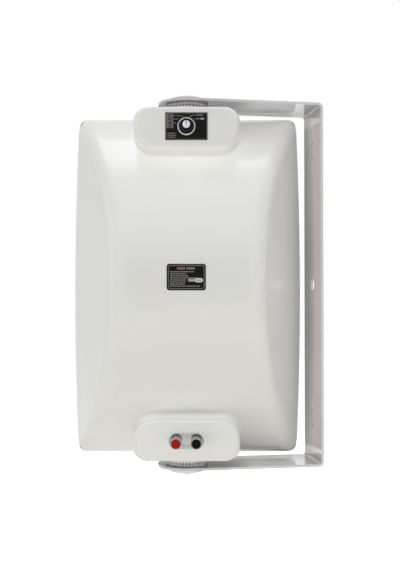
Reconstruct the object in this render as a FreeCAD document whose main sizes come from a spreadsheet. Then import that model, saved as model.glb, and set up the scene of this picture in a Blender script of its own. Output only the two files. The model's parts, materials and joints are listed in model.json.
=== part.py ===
"""Two-way wall loudspeaker on a swivelling U-bracket, in millimetres.

The frame has +Z up, +Y into the wall and its origin at the middle of the wall plate's outer face.
Cabinet pieces are drawn about the swivel axis, with x across the back, y to the front and z up,
and are then turned about that axis to the angle at which the cabinet stands on its bracket.
"""
import FreeCAD
import Part
import Sketcher
import math
import os
from types import SimpleNamespace

DRIVING_SIZES = {
    # cabinet shell
    "swing": (99.2, "turn of the cabinet away from facing straight out, degrees"),
    "rim_width": (236, "cabinet width at the rim, at mid-height"),
    "rim_height": (348, "cabinet height at the rim"),
    "side_bow": (4, "outward bow of each side"),
    "rim_front": (42, "rim plane in front of the swivel axis"),
    "taper": (28.4, "slope of the walls towards the back, degrees"),
    "crown_radius": (219, "radius of the crowned back"),
    "crown_rise": (88, "crown behind the rim plane"),
    "crease_radius": (19, "rounding between the back and the sides"),
    "edge_radius": (8, "rounding of the rim corners and of the top and bottom edges"),
    "wall": (3.5, "moulded wall"),
    "overshoot": (15, "length by which cutters pass the faces that they cut"),
    # bosses at the top and bottom of the back
    "boss_step": (5, "boss ends inside the rim's top and bottom"),
    "boss_rear": (40, "boss face behind the swivel axis"),
    "boss_front": (38, "depth to which a boss runs inside the shell"),
    "boss_width": (105, "boss width at its foot"),
    "boss_height": (39.4, "boss height at its foot"),
    "boss_shoulder": (9, "depth of the rolled shoulder at the sides of the boss face"),
    "boss_shoulder_width": (103, "boss width at its shoulder"),
    "boss_shoulder_height": (38.2, "boss height at its shoulder"),
    "boss_face_width": (91, "width of the flat part of the boss face"),
    "boss_outer_corner": (12, "corner radius on the outer side"),
    "boss_inner_corner": (20, "corner radius on the inner side"),
    "boss_edge": (1.8, "rounding along the long edges of the boss face"),
    "boss_root": (3, "rounding where a boss grows out of the crowned back"),
    "fitting_inset": (19, "tap switch and terminals inside the boss end"),
    # front
    "seam": (1.5, "gasket between the shell and the front frame"),
    "gasket_inset": (0.9, "gasket inside the outer faces"),
    "frame_depth": (40, "depth of the front frame"),
    "bezel": (6, "rim of the front frame around the grille"),
    "bezel_edge": (5, "rounding of the bezel"),
    "recess_corner": (6.5, "corner radius of the grille's recess"),
    "recess_depth": (15, "baffle behind the bezel"),
    "baffle": (5, "thickness of the baffle"),
    "grille_gap": (0.5, "grille to bezel"),
    "grille_sheet": (1.2, "grille sheet"),
    "grille_bulge": (7, "middle of the grille in front of the bezel"),
    "grille_radius": (950, "radius of the bowed grille"),
    "grille_edge": (4, "rounding of the grille's folded edge"),
    "opening": (12, "grille opening, centre to corner"),
    "opening_columns": (8, "grille openings in a full row"),
    "opening_margin": (9, "plain border of the grille"),
    # woofer
    "woofer_z": (-62, "woofer axis above mid-height"),
    "woofer_flange": (84.5, "woofer flange radius"),
    "woofer_cutout": (72.5, "woofer cut-out radius"),
    "basket_depth": (46, "flange to the back of the basket"),
    "basket_foot": (44.5, "radius of the basket's back"),
    "basket_sheet": (1.5, "basket sheet"),
    "flange_sheet": (3, "flange rim"),
    "cone_radius": (65.7, "cone radius"),
    "cone_neck": (13.4, "cone radius at the voice coil"),
    "cone_depth": (26, "cone mouth to neck"),
    "cone_paper": (1.2, "cone thickness along the axis"),
    "roll_radius": (5, "radius of the surround's roll"),
    "roll_rubber": (0.8, "surround thickness"),
    "cap_radius": (24, "dust cap radius"),
    "cap_rise": (7.6, "dust cap rise"),
    "coil_radius": (13.3, "voice coil former radius"),
    "coil_sheet": (0.5, "former thickness"),
    "winding": (0.7, "winding thickness"),
    "coil_gap": (0.6, "gap beside the coil"),
    "plate_radius": (36, "pole plate radius"),
    "plate_sheet": (5, "front pole plate thickness"),
    "magnet_radius": (43, "ferrite ring radius"),
    "magnet_height": (16, "ferrite ring height"),
    "yoke_sheet": (6, "back plate thickness"),
    # tweeter
    "tweeter_z": (82, "tweeter axis above mid-height"),
    "tweeter_plate": (46, "tweeter faceplate radius"),
    "tweeter_cutout": (36, "tweeter cut-out radius"),
    "tweeter_hub": (30, "radius of the faceplate's hub and of the magnet cup"),
    "tweeter_throat": (14.5, "throat radius"),
    "tweeter_sheet": (3, "faceplate rim"),
    "hub_depth": (9, "hub behind the baffle's front"),
    "dome_radius": (12.8, "dome radius"),
    "dome_rise": (4.4, "dome rise"),
    "film": (0.8, "dome and rim thickness"),
    "cup_depth": (19, "magnet cup behind the hub"),
    # crossover board
    "board_z": (36, "middle of the crossover board"),
    "board_width": (84, "board width"),
    "board_height": (84, "board height"),
    "board_sheet": (1.6, "board thickness"),
    "board_rear": (22, "board's back face behind the swivel axis"),
    "board_margin": (6, "fixing holes inside the board's edges"),
    "stack_width": (48, "transformer core width"),
    "stack_height": (40, "transformer core height"),
    "stack_depth": (20, "transformer core depth"),
    "bobbin_depth": (34, "transformer winding depth"),
    "choke_radius": (13, "choke radius"),
    "choke_height": (16, "choke height"),
    "capacitor_radius": (6, "capacitor radius"),
    "capacitor_length": (26, "capacitor length"),
    # swivel
    "ratchet_radius": (21, "toothed ring radius"),
    "ratchet_bore": (9, "bore of the ring on the boss"),
    "tooth_inner": (13, "inner radius of the teeth"),
    "tooth_count": (40, "teeth in a ring"),
    "tooth_depth": (1.5, "tooth height"),
    "boss_ring": (6.2, "height of the ring on the boss"),
    "arm_ring": (2.4, "height of the ring on the arm"),
    "crest_gap": (0.4, "clearance between the crests with the knobs slackened"),
    "peg_radius": (2, "locating pegs of the ring on the arm"),
    "peg_offset": (13, "pegs from the axis"),
    "screw_radius": (4, "pivot screw radius"),
    "screw_fit": (0.05, "running clearance of screws and caps"),
    "insert_radius": (6, "threaded insert radius"),
    "insert_length": (20, "threaded insert length"),
    "tower_wall": (3, "plastic round an insert"),
    "washer_radius": (12, "pivot washer radius"),
    "washer_sheet": (1.5, "pivot washer thickness"),
    "knob_radius": (17.5, "pivot knob radius"),
    "knob_rim": (3.4, "height of the knob's rim"),
    "knob_height": (4.8, "knob height"),
    "knob_lift": (0.4, "clearance between the knob's skirt and the arm"),
    "knob_step": (10, "radius of the knob's raised middle"),
    "knob_head": (5.4, "radius of the screw head on the knob"),
    "head_height": (1.2, "height of that head"),
    "slack": (0.2, "slack of washer and knob"),
    # bracket
    "strip_width": (58, "bracket strip width"),
    "strip": (2.5, "bracket sheet"),
    "bend_radius": (5, "outer radius of the bends"),
    "wall_gap": (2.7, "swung cabinet to the wall"),
    "pivot_hole": (5.2, "radius of the pivot holes"),
    "centre_hole": (6.2, "radius of the middle hole"),
    "screw_hole": (2.4, "radius of the small wall holes"),
    "screw_hole_z": (144.5, "small wall holes from the middle"),
    "keyhole": (3.8, "radius of a keyhole's entry"),
    "keyhole_slot": (2.3, "half width of a keyhole's slot"),
    "keyhole_rise": (9, "slot end above the entry"),
    "keyhole_z": (122, "keyhole entries from the middle"),
    # tap selector
    "tap_plate_width": (40.5, "tap plate width"),
    "tap_plate_height": (26.5, "tap plate height"),
    "tap_plate_sheet": (1.2, "tap plate thickness"),
    "tap_plate_seat": (0.7, "depth of the tap plate's seat"),
    "plate_fit": (0.2, "clearance round seated plates"),
    "dial_radius": (9, "dial ring radius"),
    "dial_width": (1.6, "dial ring width"),
    "dial_sheet": (0.8, "dial ring height"),
    "tap_knob_radius": (7, "tap knob radius"),
    "tap_knob_height": (8, "tap knob height"),
    "tap_cap": (3.9, "tap knob cap radius"),
    "tap_cap_height": (1.6, "tap knob cap height"),
    "pointer_width": (1.8, "pointer width"),
    "shaft_radius": (3, "tap shaft radius"),
    "bushing_radius": (5, "switch bushing radius"),
    "switch_radius": (13, "switch radius"),
    "switch_depth": (16, "switch depth"),
    # terminals
    "post_spacing": (19.05, "binding posts, centre to centre"),
    "pocket_width": (33.5, "terminal recess width"),
    "pocket_height": (15, "terminal recess height"),
    "pocket_depth": (12, "terminal recess depth"),
    "collar_radius": (5.3, "post collar radius"),
    "collar_height": (4, "post collar height"),
    "stud_radius": (2.4, "post stud radius"),
    "post_reach": (16, "post end behind the boss face"),
    "post_cap": (5.2, "post cap radius"),
    "cap_travel": (3, "open gap between collar and cap"),
    "post_plug": (3.3, "coloured end radius"),
    "plug_height": (2, "coloured end seated in the cap"),
    "plug_proud": (0.6, "coloured end proud of the cap"),
    "nut_radius": (4.5, "post nut radius, to the corners"),
    "nut_height": (3, "post nut height"),
    # back label
    "label_z": (5.6, "middle of the label above mid-height"),
    "label_width": (37, "label width"),
    "label_height": (25, "label height"),
    "label_corner": (2.4, "label corner radius"),
    "label_sheet": (0.5, "label thickness"),
    # fasteners
    "driver_screw": (1.9, "driver screw radius"),
    "driver_screw_length": (11, "driver screw length"),
    "screw_head": (3.8, "screw head radius"),
    "screw_head_height": (2.4, "screw head height"),
    "pilot_fit": (0.05, "clearance in pilot holes"),
    "case_screw_length": (20, "case screw length"),
    "tower_radius": (5, "screw tower radius"),
    "tower_inset": (21, "screw towers inside the rim's sides"),
    "tower_margin": (34, "outer screw towers inside the rim's top and bottom"),
    "woofer_screw_circle": (80.3, "woofer screw circle radius"),
    "tweeter_screw_circle": (40.5, "tweeter screw circle radius"),
}

DOC = FreeCAD.newDocument("wall_loudspeaker")
SHEET = DOC.addObject("Spreadsheet::Sheet", "Sizes")
NODES = []
CASE_SCREWS_DOWN = (-1, 0, 1)
QUARTERS = (45, 135, 225, 315)


class Size:
    """A measure that knows its value and the sheet expression that gives it."""

    def __init__(self, value, text):
        self.value = float(value)
        self.text = text

    def __add__(self, other):
        other = size_of(other)
        return Size(self.value + other.value, f"({self.text} + {other.text})")

    def __sub__(self, other):
        other = size_of(other)
        return Size(self.value - other.value, f"({self.text} - {other.text})")

    def __mul__(self, other):
        other = size_of(other)
        return Size(self.value * other.value, f"({self.text} * {other.text})")

    def __truediv__(self, other):
        other = size_of(other)
        return Size(self.value / other.value, f"({self.text} / {other.text})")

    def __neg__(self):
        return Size(-self.value, f"(0 - {self.text})")

    def __rsub__(self, other):
        return size_of(other) - self

    __radd__ = __add__
    __rmul__ = __mul__


def size_of(number):
    return number if isinstance(number, Size) else Size(number, f"({number:.6f})")


def tangent(angle):
    return Size(math.tan(math.radians(angle.value)), f"tan({angle.text} * 1 deg)")


def cosine(angle):
    return Size(math.cos(math.radians(angle.value)), f"cos({angle.text} * 1 deg)")


def sine(angle):
    return Size(math.sin(math.radians(angle.value)), f"sin({angle.text} * 1 deg)")


def root(square):
    return Size(math.sqrt(square.value), f"sqrt({square.text})")


def fill_sheet():
    """Writes the driving sizes to the sheet and hands them back by name."""
    sizes = {}
    for row, (alias, (value, meaning)) in enumerate(DRIVING_SIZES.items(), start=1):
        SHEET.set(f"A{row}", alias)
        SHEET.set(f"B{row}", str(value))
        SHEET.set(f"C{row}", meaning)
        SHEET.setAlias(f"B{row}", alias)
        sizes[alias] = Size(value, f"Sizes.{alias}")
    DOC.recompute()
    return SimpleNamespace(**sizes)


d = fill_sheet()

# Levels that several pieces share, worked out from the driving sizes.
CROWN_Y = d.rim_front - d.crown_rise
BOSS_END = d.rim_height / 2 - d.boss_step
FITTING_Z = BOSS_END - d.fitting_inset
FRAME_REAR = d.rim_front + d.seam
FRAME_FRONT = FRAME_REAR + d.frame_depth
BAFFLE_FRONT = FRAME_FRONT - d.recess_depth
BAFFLE_REAR = BAFFLE_FRONT - d.baffle
BOSS_CREST = BOSS_END + d.boss_ring
ARM_CREST = BOSS_CREST + d.crest_gap
ARM_INNER = ARM_CREST + d.arm_ring
ARM_OUTER = ARM_INNER + d.strip
TOWER_X = d.rim_width / 2 - d.tower_inset
TOWER_Z = d.rim_height / 2 - d.tower_margin
PAST_SQUARE = d.swing - 90
REACH = d.rim_width / 2 * cosine(PAST_SQUARE) + FRAME_FRONT * sine(PAST_SQUARE) + d.wall_gap
BOSS_FACE = -d.boss_rear


def bind(thing, prop, size):
    thing.setExpression(prop, size_of(size).text)


def vector(x, y, z=0):
    return FreeCAD.Vector(size_of(x).value, size_of(y).value, size_of(z).value)


def new_body(name):
    return DOC.addObject("PartDesign::Body", name)


def sketch_on(body, role, offset=0):
    """A sketch on one of the body's own origin planes, moved along that plane's normal."""
    sketch = body.newObject("Sketcher::SketchObject", f"{body.Name}_sketch")
    plane = next(f for f in body.Origin.OriginFeatures if f.Role == role)
    sketch.AttachmentSupport = [(plane, "")]
    sketch.MapMode = "FlatFace"
    sketch.AttachmentOffset = FreeCAD.Placement(vector(0, 0, offset), FreeCAD.Rotation())
    bind(sketch, "AttachmentOffset.Base.z", offset)
    return sketch


def place_point(sketch, geometry, end, x, y):
    """Pins one point of the sketch to the sheet's sizes."""
    for kind, size in (("DistanceX", size_of(x)), ("DistanceY", size_of(y))):
        index = sketch.addConstraint(Sketcher.Constraint(kind, -1, 1, geometry, end, size.value))
        bind(sketch, f"Constraints[{index}]", size)


def set_radius(sketch, geometry, radius):
    index = sketch.addConstraint(Sketcher.Constraint("Radius", geometry, size_of(radius).value))
    bind(sketch, f"Constraints[{index}]", radius)


def circle(sketch, radius, x=0, y=0):
    shape = Part.Circle(vector(x, y), FreeCAD.Vector(0, 0, 1), size_of(radius).value)
    geometry = sketch.addGeometry(shape)
    place_point(sketch, geometry, 3, x, y)
    set_radius(sketch, geometry, radius)


def arc_between(start, end, radius):
    """An arc of less than half a turn; a positive radius has its centre left of the run."""
    along = end - start
    half = along.Length / 2
    left = FreeCAD.Vector(-along.y, along.x, 0).normalize()
    rise = math.sqrt(max(radius * radius - half * half, 0))
    centre = (start + end) * 0.5 + left * math.copysign(rise, radius)
    angles = [math.atan2(p.y - centre.y, p.x - centre.x) for p in (start, end)]
    if radius < 0:
        angles.reverse()
    ring = Part.Circle(centre, FreeCAD.Vector(0, 0, 1), abs(radius))
    return Part.ArcOfCircle(ring, angles[0], angles[1])


def outline(sketch, points):
    """A closed profile; a third entry at a point bends the run that leaves it into an arc."""
    corners = [vector(p[0], p[1]) for p in points]
    ends = []
    for i, point in enumerate(points):
        start, end = corners[i], corners[(i + 1) % len(points)]
        if len(point) == 3:
            radius = size_of(point[2])
            geometry = sketch.addGeometry(arc_between(start, end, radius.value))
            ends.append((geometry, 1, 2) if radius.value > 0 else (geometry, 2, 1))
        else:
            geometry = sketch.addGeometry(Part.LineSegment(start, end))
            ends.append((geometry, 1, 2))
    for i, (geometry, first, last) in enumerate(ends):
        after = ends[(i + 1) % len(ends)]
        sketch.addConstraint(Sketcher.Constraint("Coincident", geometry, last, after[0], after[1]))
        place_point(sketch, geometry, first, points[i][0], points[i][1])
    for (geometry, first, last), point in zip(ends, points):
        if len(point) == 3:
            radius = size_of(point[2])
            set_radius(sketch, geometry, radius if radius.value > 0 else -radius)


def rectangle(sketch, left, bottom, right, top):
    outline(sketch, [(left, bottom), (right, bottom), (right, top), (left, top)])


def rounded_rectangle(sketch, half_width, bottom, top, low_radius, high_radius):
    low, high = low_radius, high_radius
    outline(sketch, [
        (-half_width + low, bottom),
        (half_width - low, bottom, low),
        (half_width, bottom + low),
        (half_width, top - high, high),
        (half_width - high, top),
        (-half_width + high, top, high),
        (-half_width, top - high),
        (-half_width, bottom + low, low),
    ])


def stadium(sketch, half_length, radius, z):
    """A slot with round ends; half_length runs to the end of the slot."""
    middle = half_length - radius
    outline(sketch, [
        (-middle, z - radius),
        (middle, z - radius, radius),
        (half_length, z, radius),
        (middle, z + radius),
        (-middle, z + radius, radius),
        (-half_length, z, radius),
    ])


def pad(body, sketch, length, symmetric=False, reverse=False):
    feature = body.newObject("PartDesign::Pad", f"{body.Name}_pad")
    feature.Profile = sketch
    feature.SideType = "Symmetric" if symmetric else "One side"
    feature.Reversed = reverse
    bind(feature, "Length", length)
    return feature


def pocket(body, sketch, length=None, reverse=False):
    """A cut of one length along the sketch's normal, or right through both ways without one."""
    feature = body.newObject("PartDesign::Pocket", f"{body.Name}_pocket")
    feature.Profile = sketch
    feature.Reversed = reverse
    if length is None:
        feature.Type = "ThroughAll"
        feature.SideType = "Symmetric"
    else:
        bind(feature, "Length", length)
    return feature


def keep_inside(body, role, radius, x, y, margin):
    """Cuts away what lies outside a circle that is seen along the plane's normal."""
    sketch = sketch_on(body, role)
    circle(sketch, radius, x, y)
    half = radius + margin
    rectangle(sketch, x - half, y - half, x + half, y + half)
    return pocket(body, sketch)


def turned(name, points, role="XZ_Plane", offset=0):
    """A body of revolution about the vertical axis of its sketch plane."""
    body = new_body(name)
    sketch = sketch_on(body, role, offset)
    outline(sketch, points)
    feature = body.newObject("PartDesign::Revolution", f"{name}_turn")
    feature.Profile = sketch
    feature.ReferenceAxis = (sketch, ["V_Axis"])
    feature.Angle = 360
    return body


def turned_y(name, points, z, x=0):
    """A body turned about an axis along y at a height z and an offset x; points are (radius, y)."""
    body = turned(name, points, "XY_Plane", z)
    bind(body, "Placement.Base.x", x)
    return body


def rounded(body, radius, wanted):
    """Rounds the edges whose middle point passes the test."""
    DOC.recompute()
    base = body.Tip
    names = []
    for number, edge in enumerate(base.Shape.Edges, start=1):
        first, last = edge.ParameterRange
        if wanted(edge.valueAt((first + last) / 2)):
            names.append(f"Edge{number}")
    feature = body.newObject("PartDesign::Fillet", f"{body.Name}_fillet")
    feature.Base = (base, names)
    bind(feature, "Radius", radius)
    DOC.recompute()
    return feature


def cylinder_y(name, radius, length, x, y, z):
    """A cylinder that runs from y towards the front."""
    rod = DOC.addObject("Part::Cylinder", name)
    bind(rod, "Radius", radius)
    bind(rod, "Height", length)
    rod.Placement = FreeCAD.Placement(vector(x, y, z), FreeCAD.Rotation(FreeCAD.Vector(1, 0, 0), -90))
    for axis, size in zip("xyz", (x, y, z)):
        bind(rod, f"Placement.Base.{axis}", size)
    return rod


def cylinder_z(name, radius, length, z):
    rod = DOC.addObject("Part::Cylinder", name)
    bind(rod, "Radius", radius)
    bind(rod, "Height", length)
    bind(rod, "Placement.Base.z", z)
    return rod


def block(name, width, depth, height, x, y, z):
    """A box centred in x and z on the point given, running from y towards the front."""
    box = DOC.addObject("Part::Box", name)
    for prop, size in (("Length", width), ("Width", depth), ("Height", height)):
        bind(box, prop, size)
    bind(box, "Placement.Base.x", x - size_of(width) / 2)
    bind(box, "Placement.Base.y", y)
    bind(box, "Placement.Base.z", z - size_of(height) / 2)
    return box


def joined(name, shapes):
    fused = DOC.addObject("Part::MultiFuse", name)
    fused.Shapes = shapes
    return fused


def grouped(name, shapes):
    group = DOC.addObject("Part::Compound", name)
    group.Links = shapes
    return group


def cut(name, base, tool):
    result = DOC.addObject("Part::Cut", name)
    result.Base = base
    result.Tool = tool
    return result


def inverted(name, source):
    """The same form for the other end: half a turn about the axis that runs front to back."""
    copy = DOC.addObject("Part::Compound", name)
    copy.Links = [source]
    copy.Placement = FreeCAD.Placement(FreeCAD.Vector(), FreeCAD.Rotation(FreeCAD.Vector(0, 1, 0), 180))
    return copy


def node(thing, label, turn=None):
    """Names a finished piece; turn stands it on the swivel axis at that angle."""
    if turn is not None:
        holder = DOC.addObject("Part::Compound", f"{label}_placed")
        holder.Links = [thing]
        holder.Placement = FreeCAD.Placement(
            vector(0, -REACH), FreeCAD.Rotation(FreeCAD.Vector(0, 0, 1), size_of(turn).value))
        bind(holder, "Placement.Base.y", -REACH)
        bind(holder, "Placement.Rotation.Angle", turn)
        thing = holder
    thing.Label = label
    NODES.append((label, thing))


def cabinet_node(thing, label):
    node(thing, label, 180 - d.swing)


# Moulded rear shell

def shell_section(body, y, inset):
    """Bowed outline of the tapered shell at one depth, with square corners."""
    sketch = sketch_on(body, "XZ_Plane", -y)
    loss = (d.rim_front - y) * tangent(d.taper) + inset / cosine(d.taper)
    half_width = d.rim_width / 2 - loss
    half_height = d.rim_height / 2 - loss
    corner = half_width - d.side_bow
    bow_radius = (half_height * half_height + d.side_bow * d.side_bow) / (2 * d.side_bow)
    outline(sketch, [
        (-corner, -half_height),
        (corner, -half_height, bow_radius),
        (corner, half_height),
        (-corner, half_height, bow_radius),
    ])
    return sketch


def lies_on_crown(p, radius):
    centre = CROWN_Y + d.crown_radius
    return abs(math.hypot(p.y - centre.value, p.z) - radius.value) < 0.01


def shell_form(name, inset, front):
    """Tapered block with a crowned back; inset makes the cavity that leaves an even wall."""
    body = new_body(name)
    loft = body.newObject("PartDesign::AdditiveLoft", f"{name}_loft")
    loft.Profile = shell_section(body, front, inset)
    loft.Sections = [shell_section(body, CROWN_Y - d.overshoot, inset)]
    loft.Ruled = True
    radius = d.crown_radius - inset
    keep_inside(body, "YZ_Plane", radius, CROWN_Y + d.crown_radius, size_of(0), 2 * d.overshoot)

    def on_crown(p):
        return lies_on_crown(p, radius)

    rounded(body, d.crease_radius - inset, lambda p: on_crown(p) and abs(p.z) < 1)
    rounded(body, d.edge_radius - inset, lambda p: on_crown(p) and abs(p.x) < 1)
    return body


def boss_section(body, y, half_width, draw_in, height):
    """Outline of the upper boss at one depth; draw_in moves its long sides towards each other."""
    sketch = sketch_on(body, "XZ_Plane", -y)
    rounded_rectangle(sketch, half_width, BOSS_END - height + draw_in, BOSS_END - draw_in,
                      d.boss_inner_corner - draw_in, d.boss_outer_corner - draw_in)
    return sketch


def loft_through(body, sections, ruled):
    loft = body.newObject("PartDesign::AdditiveLoft", f"{body.Name}_loft")
    loft.Profile = sections[0]
    loft.Sections = sections[1:]
    loft.Ruled = ruled


def boss_outside():
    """Upper boss: a block with a flat top, rolled towards the sides of its face."""
    body = new_body("boss_outside")
    zero = size_of(0)
    roll = (d.boss_shoulder_width - d.boss_face_width) / 2

    def rolled(angle):
        """Section on the elliptical roll; the long edges are rounded over their own short depth."""
        depth = d.boss_shoulder * (1 - math.sin(math.radians(angle)))
        draw_in = zero
        if depth.value < d.boss_edge.value:
            left = d.boss_edge - depth
            draw_in = d.boss_edge - root(d.boss_edge * d.boss_edge - left * left)
        half_width = d.boss_face_width / 2 + roll * math.cos(math.radians(angle))
        return boss_section(body, BOSS_FACE + depth, half_width, draw_in, d.boss_shoulder_height)

    edge_start = math.degrees(math.asin(1 - d.boss_edge.value / d.boss_shoulder.value))
    loft_through(body, [
        boss_section(body, d.boss_front, d.boss_width / 2, zero, d.boss_height),
        rolled(0)], True)
    loft_through(body, [rolled(edge_start * share / 3) for share in range(4)], False)
    loft_through(body, [rolled(edge_start + (90 - edge_start) * share / 3) for share in range(4)], False)
    return body


def boss_cavity():
    """Hollow of the upper boss, a wall's thickness inside it."""
    body = new_body("boss_cavity")
    places = (
        (d.boss_front, d.boss_width, d.boss_height),
        (BOSS_FACE + d.boss_shoulder, d.boss_shoulder_width, d.boss_shoulder_height),
        (BOSS_FACE + d.wall, d.boss_face_width, d.boss_shoulder_height),
    )
    loft_through(body, [boss_section(body, y, width / 2 - d.wall, d.wall, height)
                        for y, width, height in places], True)
    return body


def tower_start(z):
    """Depth at which a screw tower meets the sloping side wall."""
    share = z / (d.rim_height / 2)
    half_width = d.rim_width / 2 - d.side_bow * share * share
    return d.rim_front - (half_width - TOWER_X - d.tower_radius - d.wall / 2) / tangent(d.taper)


def tower_places():
    return [(side * TOWER_X, row * TOWER_Z) for side in (-1, 1) for row in CASE_SCREWS_DOWN]


def board_fixings():
    half_width = d.board_width / 2 - d.board_margin
    half_height = d.board_height / 2 - d.board_margin
    return [(sx * half_width, d.board_z + sz * half_height) for sx in (-1, 1) for sz in (-1, 1)]


def wall_middle(z):
    """Depth of the middle of the crowned wall at a height z."""
    return CROWN_Y + d.crown_radius - root(d.crown_radius * d.crown_radius - z * z) + d.wall / 2


def rear_cabinet():
    boss = boss_outside()
    outside = joined("shell_outside", [
        shell_form("shell_body", size_of(0), d.rim_front), boss, inverted("boss_below", boss)])
    grown = new_body("shell_with_bosses")
    grown.BaseFeature = outside
    rounded(grown, d.boss_root, lambda p: lies_on_crown(p, d.crown_radius) and abs(p.x) < 1 and p.y < 0)
    hollow = boss_cavity()
    inside = joined("shell_inside", [
        shell_form("shell_cavity", d.wall, d.rim_front + d.overshoot),
        hollow, inverted("boss_cavity_below", hollow)])
    shell = cut("shell_hollow", grown, inside)

    additions = [shell]
    insert_tower = cylinder_z("insert_tower", d.insert_radius + d.tower_wall,
                              d.insert_length + d.tower_wall, BOSS_END - d.insert_length - d.tower_wall)
    additions += [insert_tower, inverted("insert_tower_below", insert_tower)]
    cup = new_body("terminal_cup")
    cup_sketch = sketch_on(cup, "XZ_Plane", -BOSS_FACE - d.wall / 2)
    stadium(cup_sketch, d.pocket_width / 2 + d.wall, d.pocket_height / 2 + d.wall, -FITTING_Z)
    pad(cup, cup_sketch, d.pocket_depth + d.wall / 2, reverse=True)
    additions.append(cup)
    for x, z in tower_places():
        start = tower_start(z)
        additions.append(cylinder_y("screw_tower", d.tower_radius, BAFFLE_REAR - start, x, start, z))
    for x, z in board_fixings():
        start = wall_middle(z)
        additions.append(cylinder_y("board_post", d.tower_radius - 1, -d.board_rear - start, x, start, z))

    cuts = []
    insert_hole = cylinder_z("insert_hole", d.insert_radius + d.pilot_fit,
                             d.insert_length + d.overshoot, BOSS_END - d.insert_length)
    cuts += [insert_hole, inverted("insert_hole_below", insert_hole)]
    recess = new_body("terminal_recess")
    recess_sketch = sketch_on(recess, "XZ_Plane", -BOSS_FACE - d.pocket_depth)
    stadium(recess_sketch, d.pocket_width / 2, d.pocket_height / 2, -FITTING_Z)
    pad(recess, recess_sketch, d.pocket_depth + d.overshoot)
    cuts.append(recess)
    seat = block("tap_seat", d.tap_plate_width + 2 * d.plate_fit, d.overshoot,
                 d.tap_plate_height + 2 * d.plate_fit, size_of(0),
                 BOSS_FACE + d.tap_plate_seat - d.overshoot, FITTING_Z)
    cuts.append(seat)
    cuts.append(cylinder_y("bushing_hole", d.bushing_radius + d.plate_fit, 2 * d.overshoot, size_of(0),
                           BOSS_FACE - d.overshoot, FITTING_Z))
    for side in (-1, 1):
        cuts.append(cylinder_y("post_hole", d.stud_radius + d.plate_fit, 2 * d.overshoot,
                               side * d.post_spacing / 2, BOSS_FACE, -FITTING_Z))
    pilot = d.driver_screw + d.pilot_fit
    for x, z in tower_places():
        depth = d.case_screw_length + d.baffle
        cuts.append(cylinder_y("case_pilot", pilot, depth, x, BAFFLE_REAR - d.case_screw_length, z))
    for x, z in board_fixings():
        depth = d.driver_screw_length - d.board_sheet
        cuts.append(cylinder_y("board_pilot", pilot, depth, x, -d.board_rear - depth, z))
    cabinet_node(cut("rear_shell", joined("shell_with_posts", additions), joined("shell_cuts", cuts)),
                 "rear_cabinet")


# Front frame, gasket and grille

def rim_outline(sketch, inset, corner):
    """Bowed outline of the rim with round corners, drawn in by an inset."""
    half_width = d.rim_width / 2 - inset
    half_height = d.rim_height / 2 - inset
    side = half_width - d.side_bow
    run = half_height - corner
    bow_radius = (run * run + d.side_bow * d.side_bow) / (2 * d.side_bow)
    outline(sketch, [
        (-side + corner, -half_height),
        (side - corner, -half_height, corner),
        (side, -run, bow_radius),
        (side, run, corner),
        (side - corner, half_height),
        (-side + corner, half_height, corner),
        (-side, run, bow_radius),
        (-side, -run, corner),
    ])


def driver_screw_places(circle_radius, z):
    return [(circle_radius * math.cos(math.radians(a)), z + circle_radius * math.sin(math.radians(a)))
            for a in QUARTERS]


def front_frame():
    body = new_body("front_frame_body")
    face = sketch_on(body, "XZ_Plane", -FRAME_FRONT)
    rim_outline(face, size_of(0), d.edge_radius)
    pad(body, face, d.frame_depth)
    rounded(body, d.bezel_edge, lambda p: abs(p.y - FRAME_FRONT.value) < 0.01)
    recess = sketch_on(body, "XZ_Plane", -FRAME_FRONT)
    rim_outline(recess, d.bezel, d.recess_corner)
    pocket(body, recess, d.recess_depth, reverse=True)
    cavity = sketch_on(body, "XZ_Plane", -FRAME_REAR)
    rim_outline(cavity, d.wall, d.edge_radius - d.wall)
    pocket(body, cavity, d.frame_depth - d.recess_depth - d.baffle)
    holes = sketch_on(body, "XZ_Plane", -BAFFLE_FRONT)
    circle(holes, d.woofer_cutout, size_of(0), d.woofer_z)
    circle(holes, d.tweeter_cutout, size_of(0), d.tweeter_z)
    pilot = d.driver_screw + d.pilot_fit
    for x, z in tower_places():
        circle(holes, pilot, x, z)
    for places in (driver_screw_places(d.woofer_screw_circle, d.woofer_z),
                   driver_screw_places(d.tweeter_screw_circle, d.tweeter_z)):
        for x, z in places:
            circle(holes, pilot, x, z)
    pocket(body, holes)
    cabinet_node(body, "front_frame")


def gasket():
    body = new_body("gasket_body")
    sketch = sketch_on(body, "XZ_Plane", -d.rim_front)
    rim_outline(sketch, d.gasket_inset, d.edge_radius - d.gasket_inset)
    pad(body, sketch, d.seam, reverse=True)
    hole = sketch_on(body, "XZ_Plane", -d.rim_front)
    rim_outline(hole, d.wall, d.edge_radius - d.wall)
    pocket(body, hole)
    cabinet_node(body, "frame_gasket")


def grille_form(name, inset, rear):
    body = new_body(name)
    sketch = sketch_on(body, "XZ_Plane", -rear)
    rim_outline(sketch, d.bezel + d.grille_gap + inset, d.recess_corner - d.grille_gap - inset)
    pad(body, sketch, FRAME_FRONT + d.overshoot - rear, reverse=True)
    radius = d.grille_radius - inset
    centre = FRAME_FRONT + d.grille_bulge - d.grille_radius
    keep_inside(body, "XY_Plane", radius, size_of(0), centre, 2 * d.overshoot)
    rounded(body, d.grille_edge - inset,
            lambda p: abs(math.hypot(p.x, p.y - centre.value) - radius.value) < 0.01)
    return body


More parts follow.
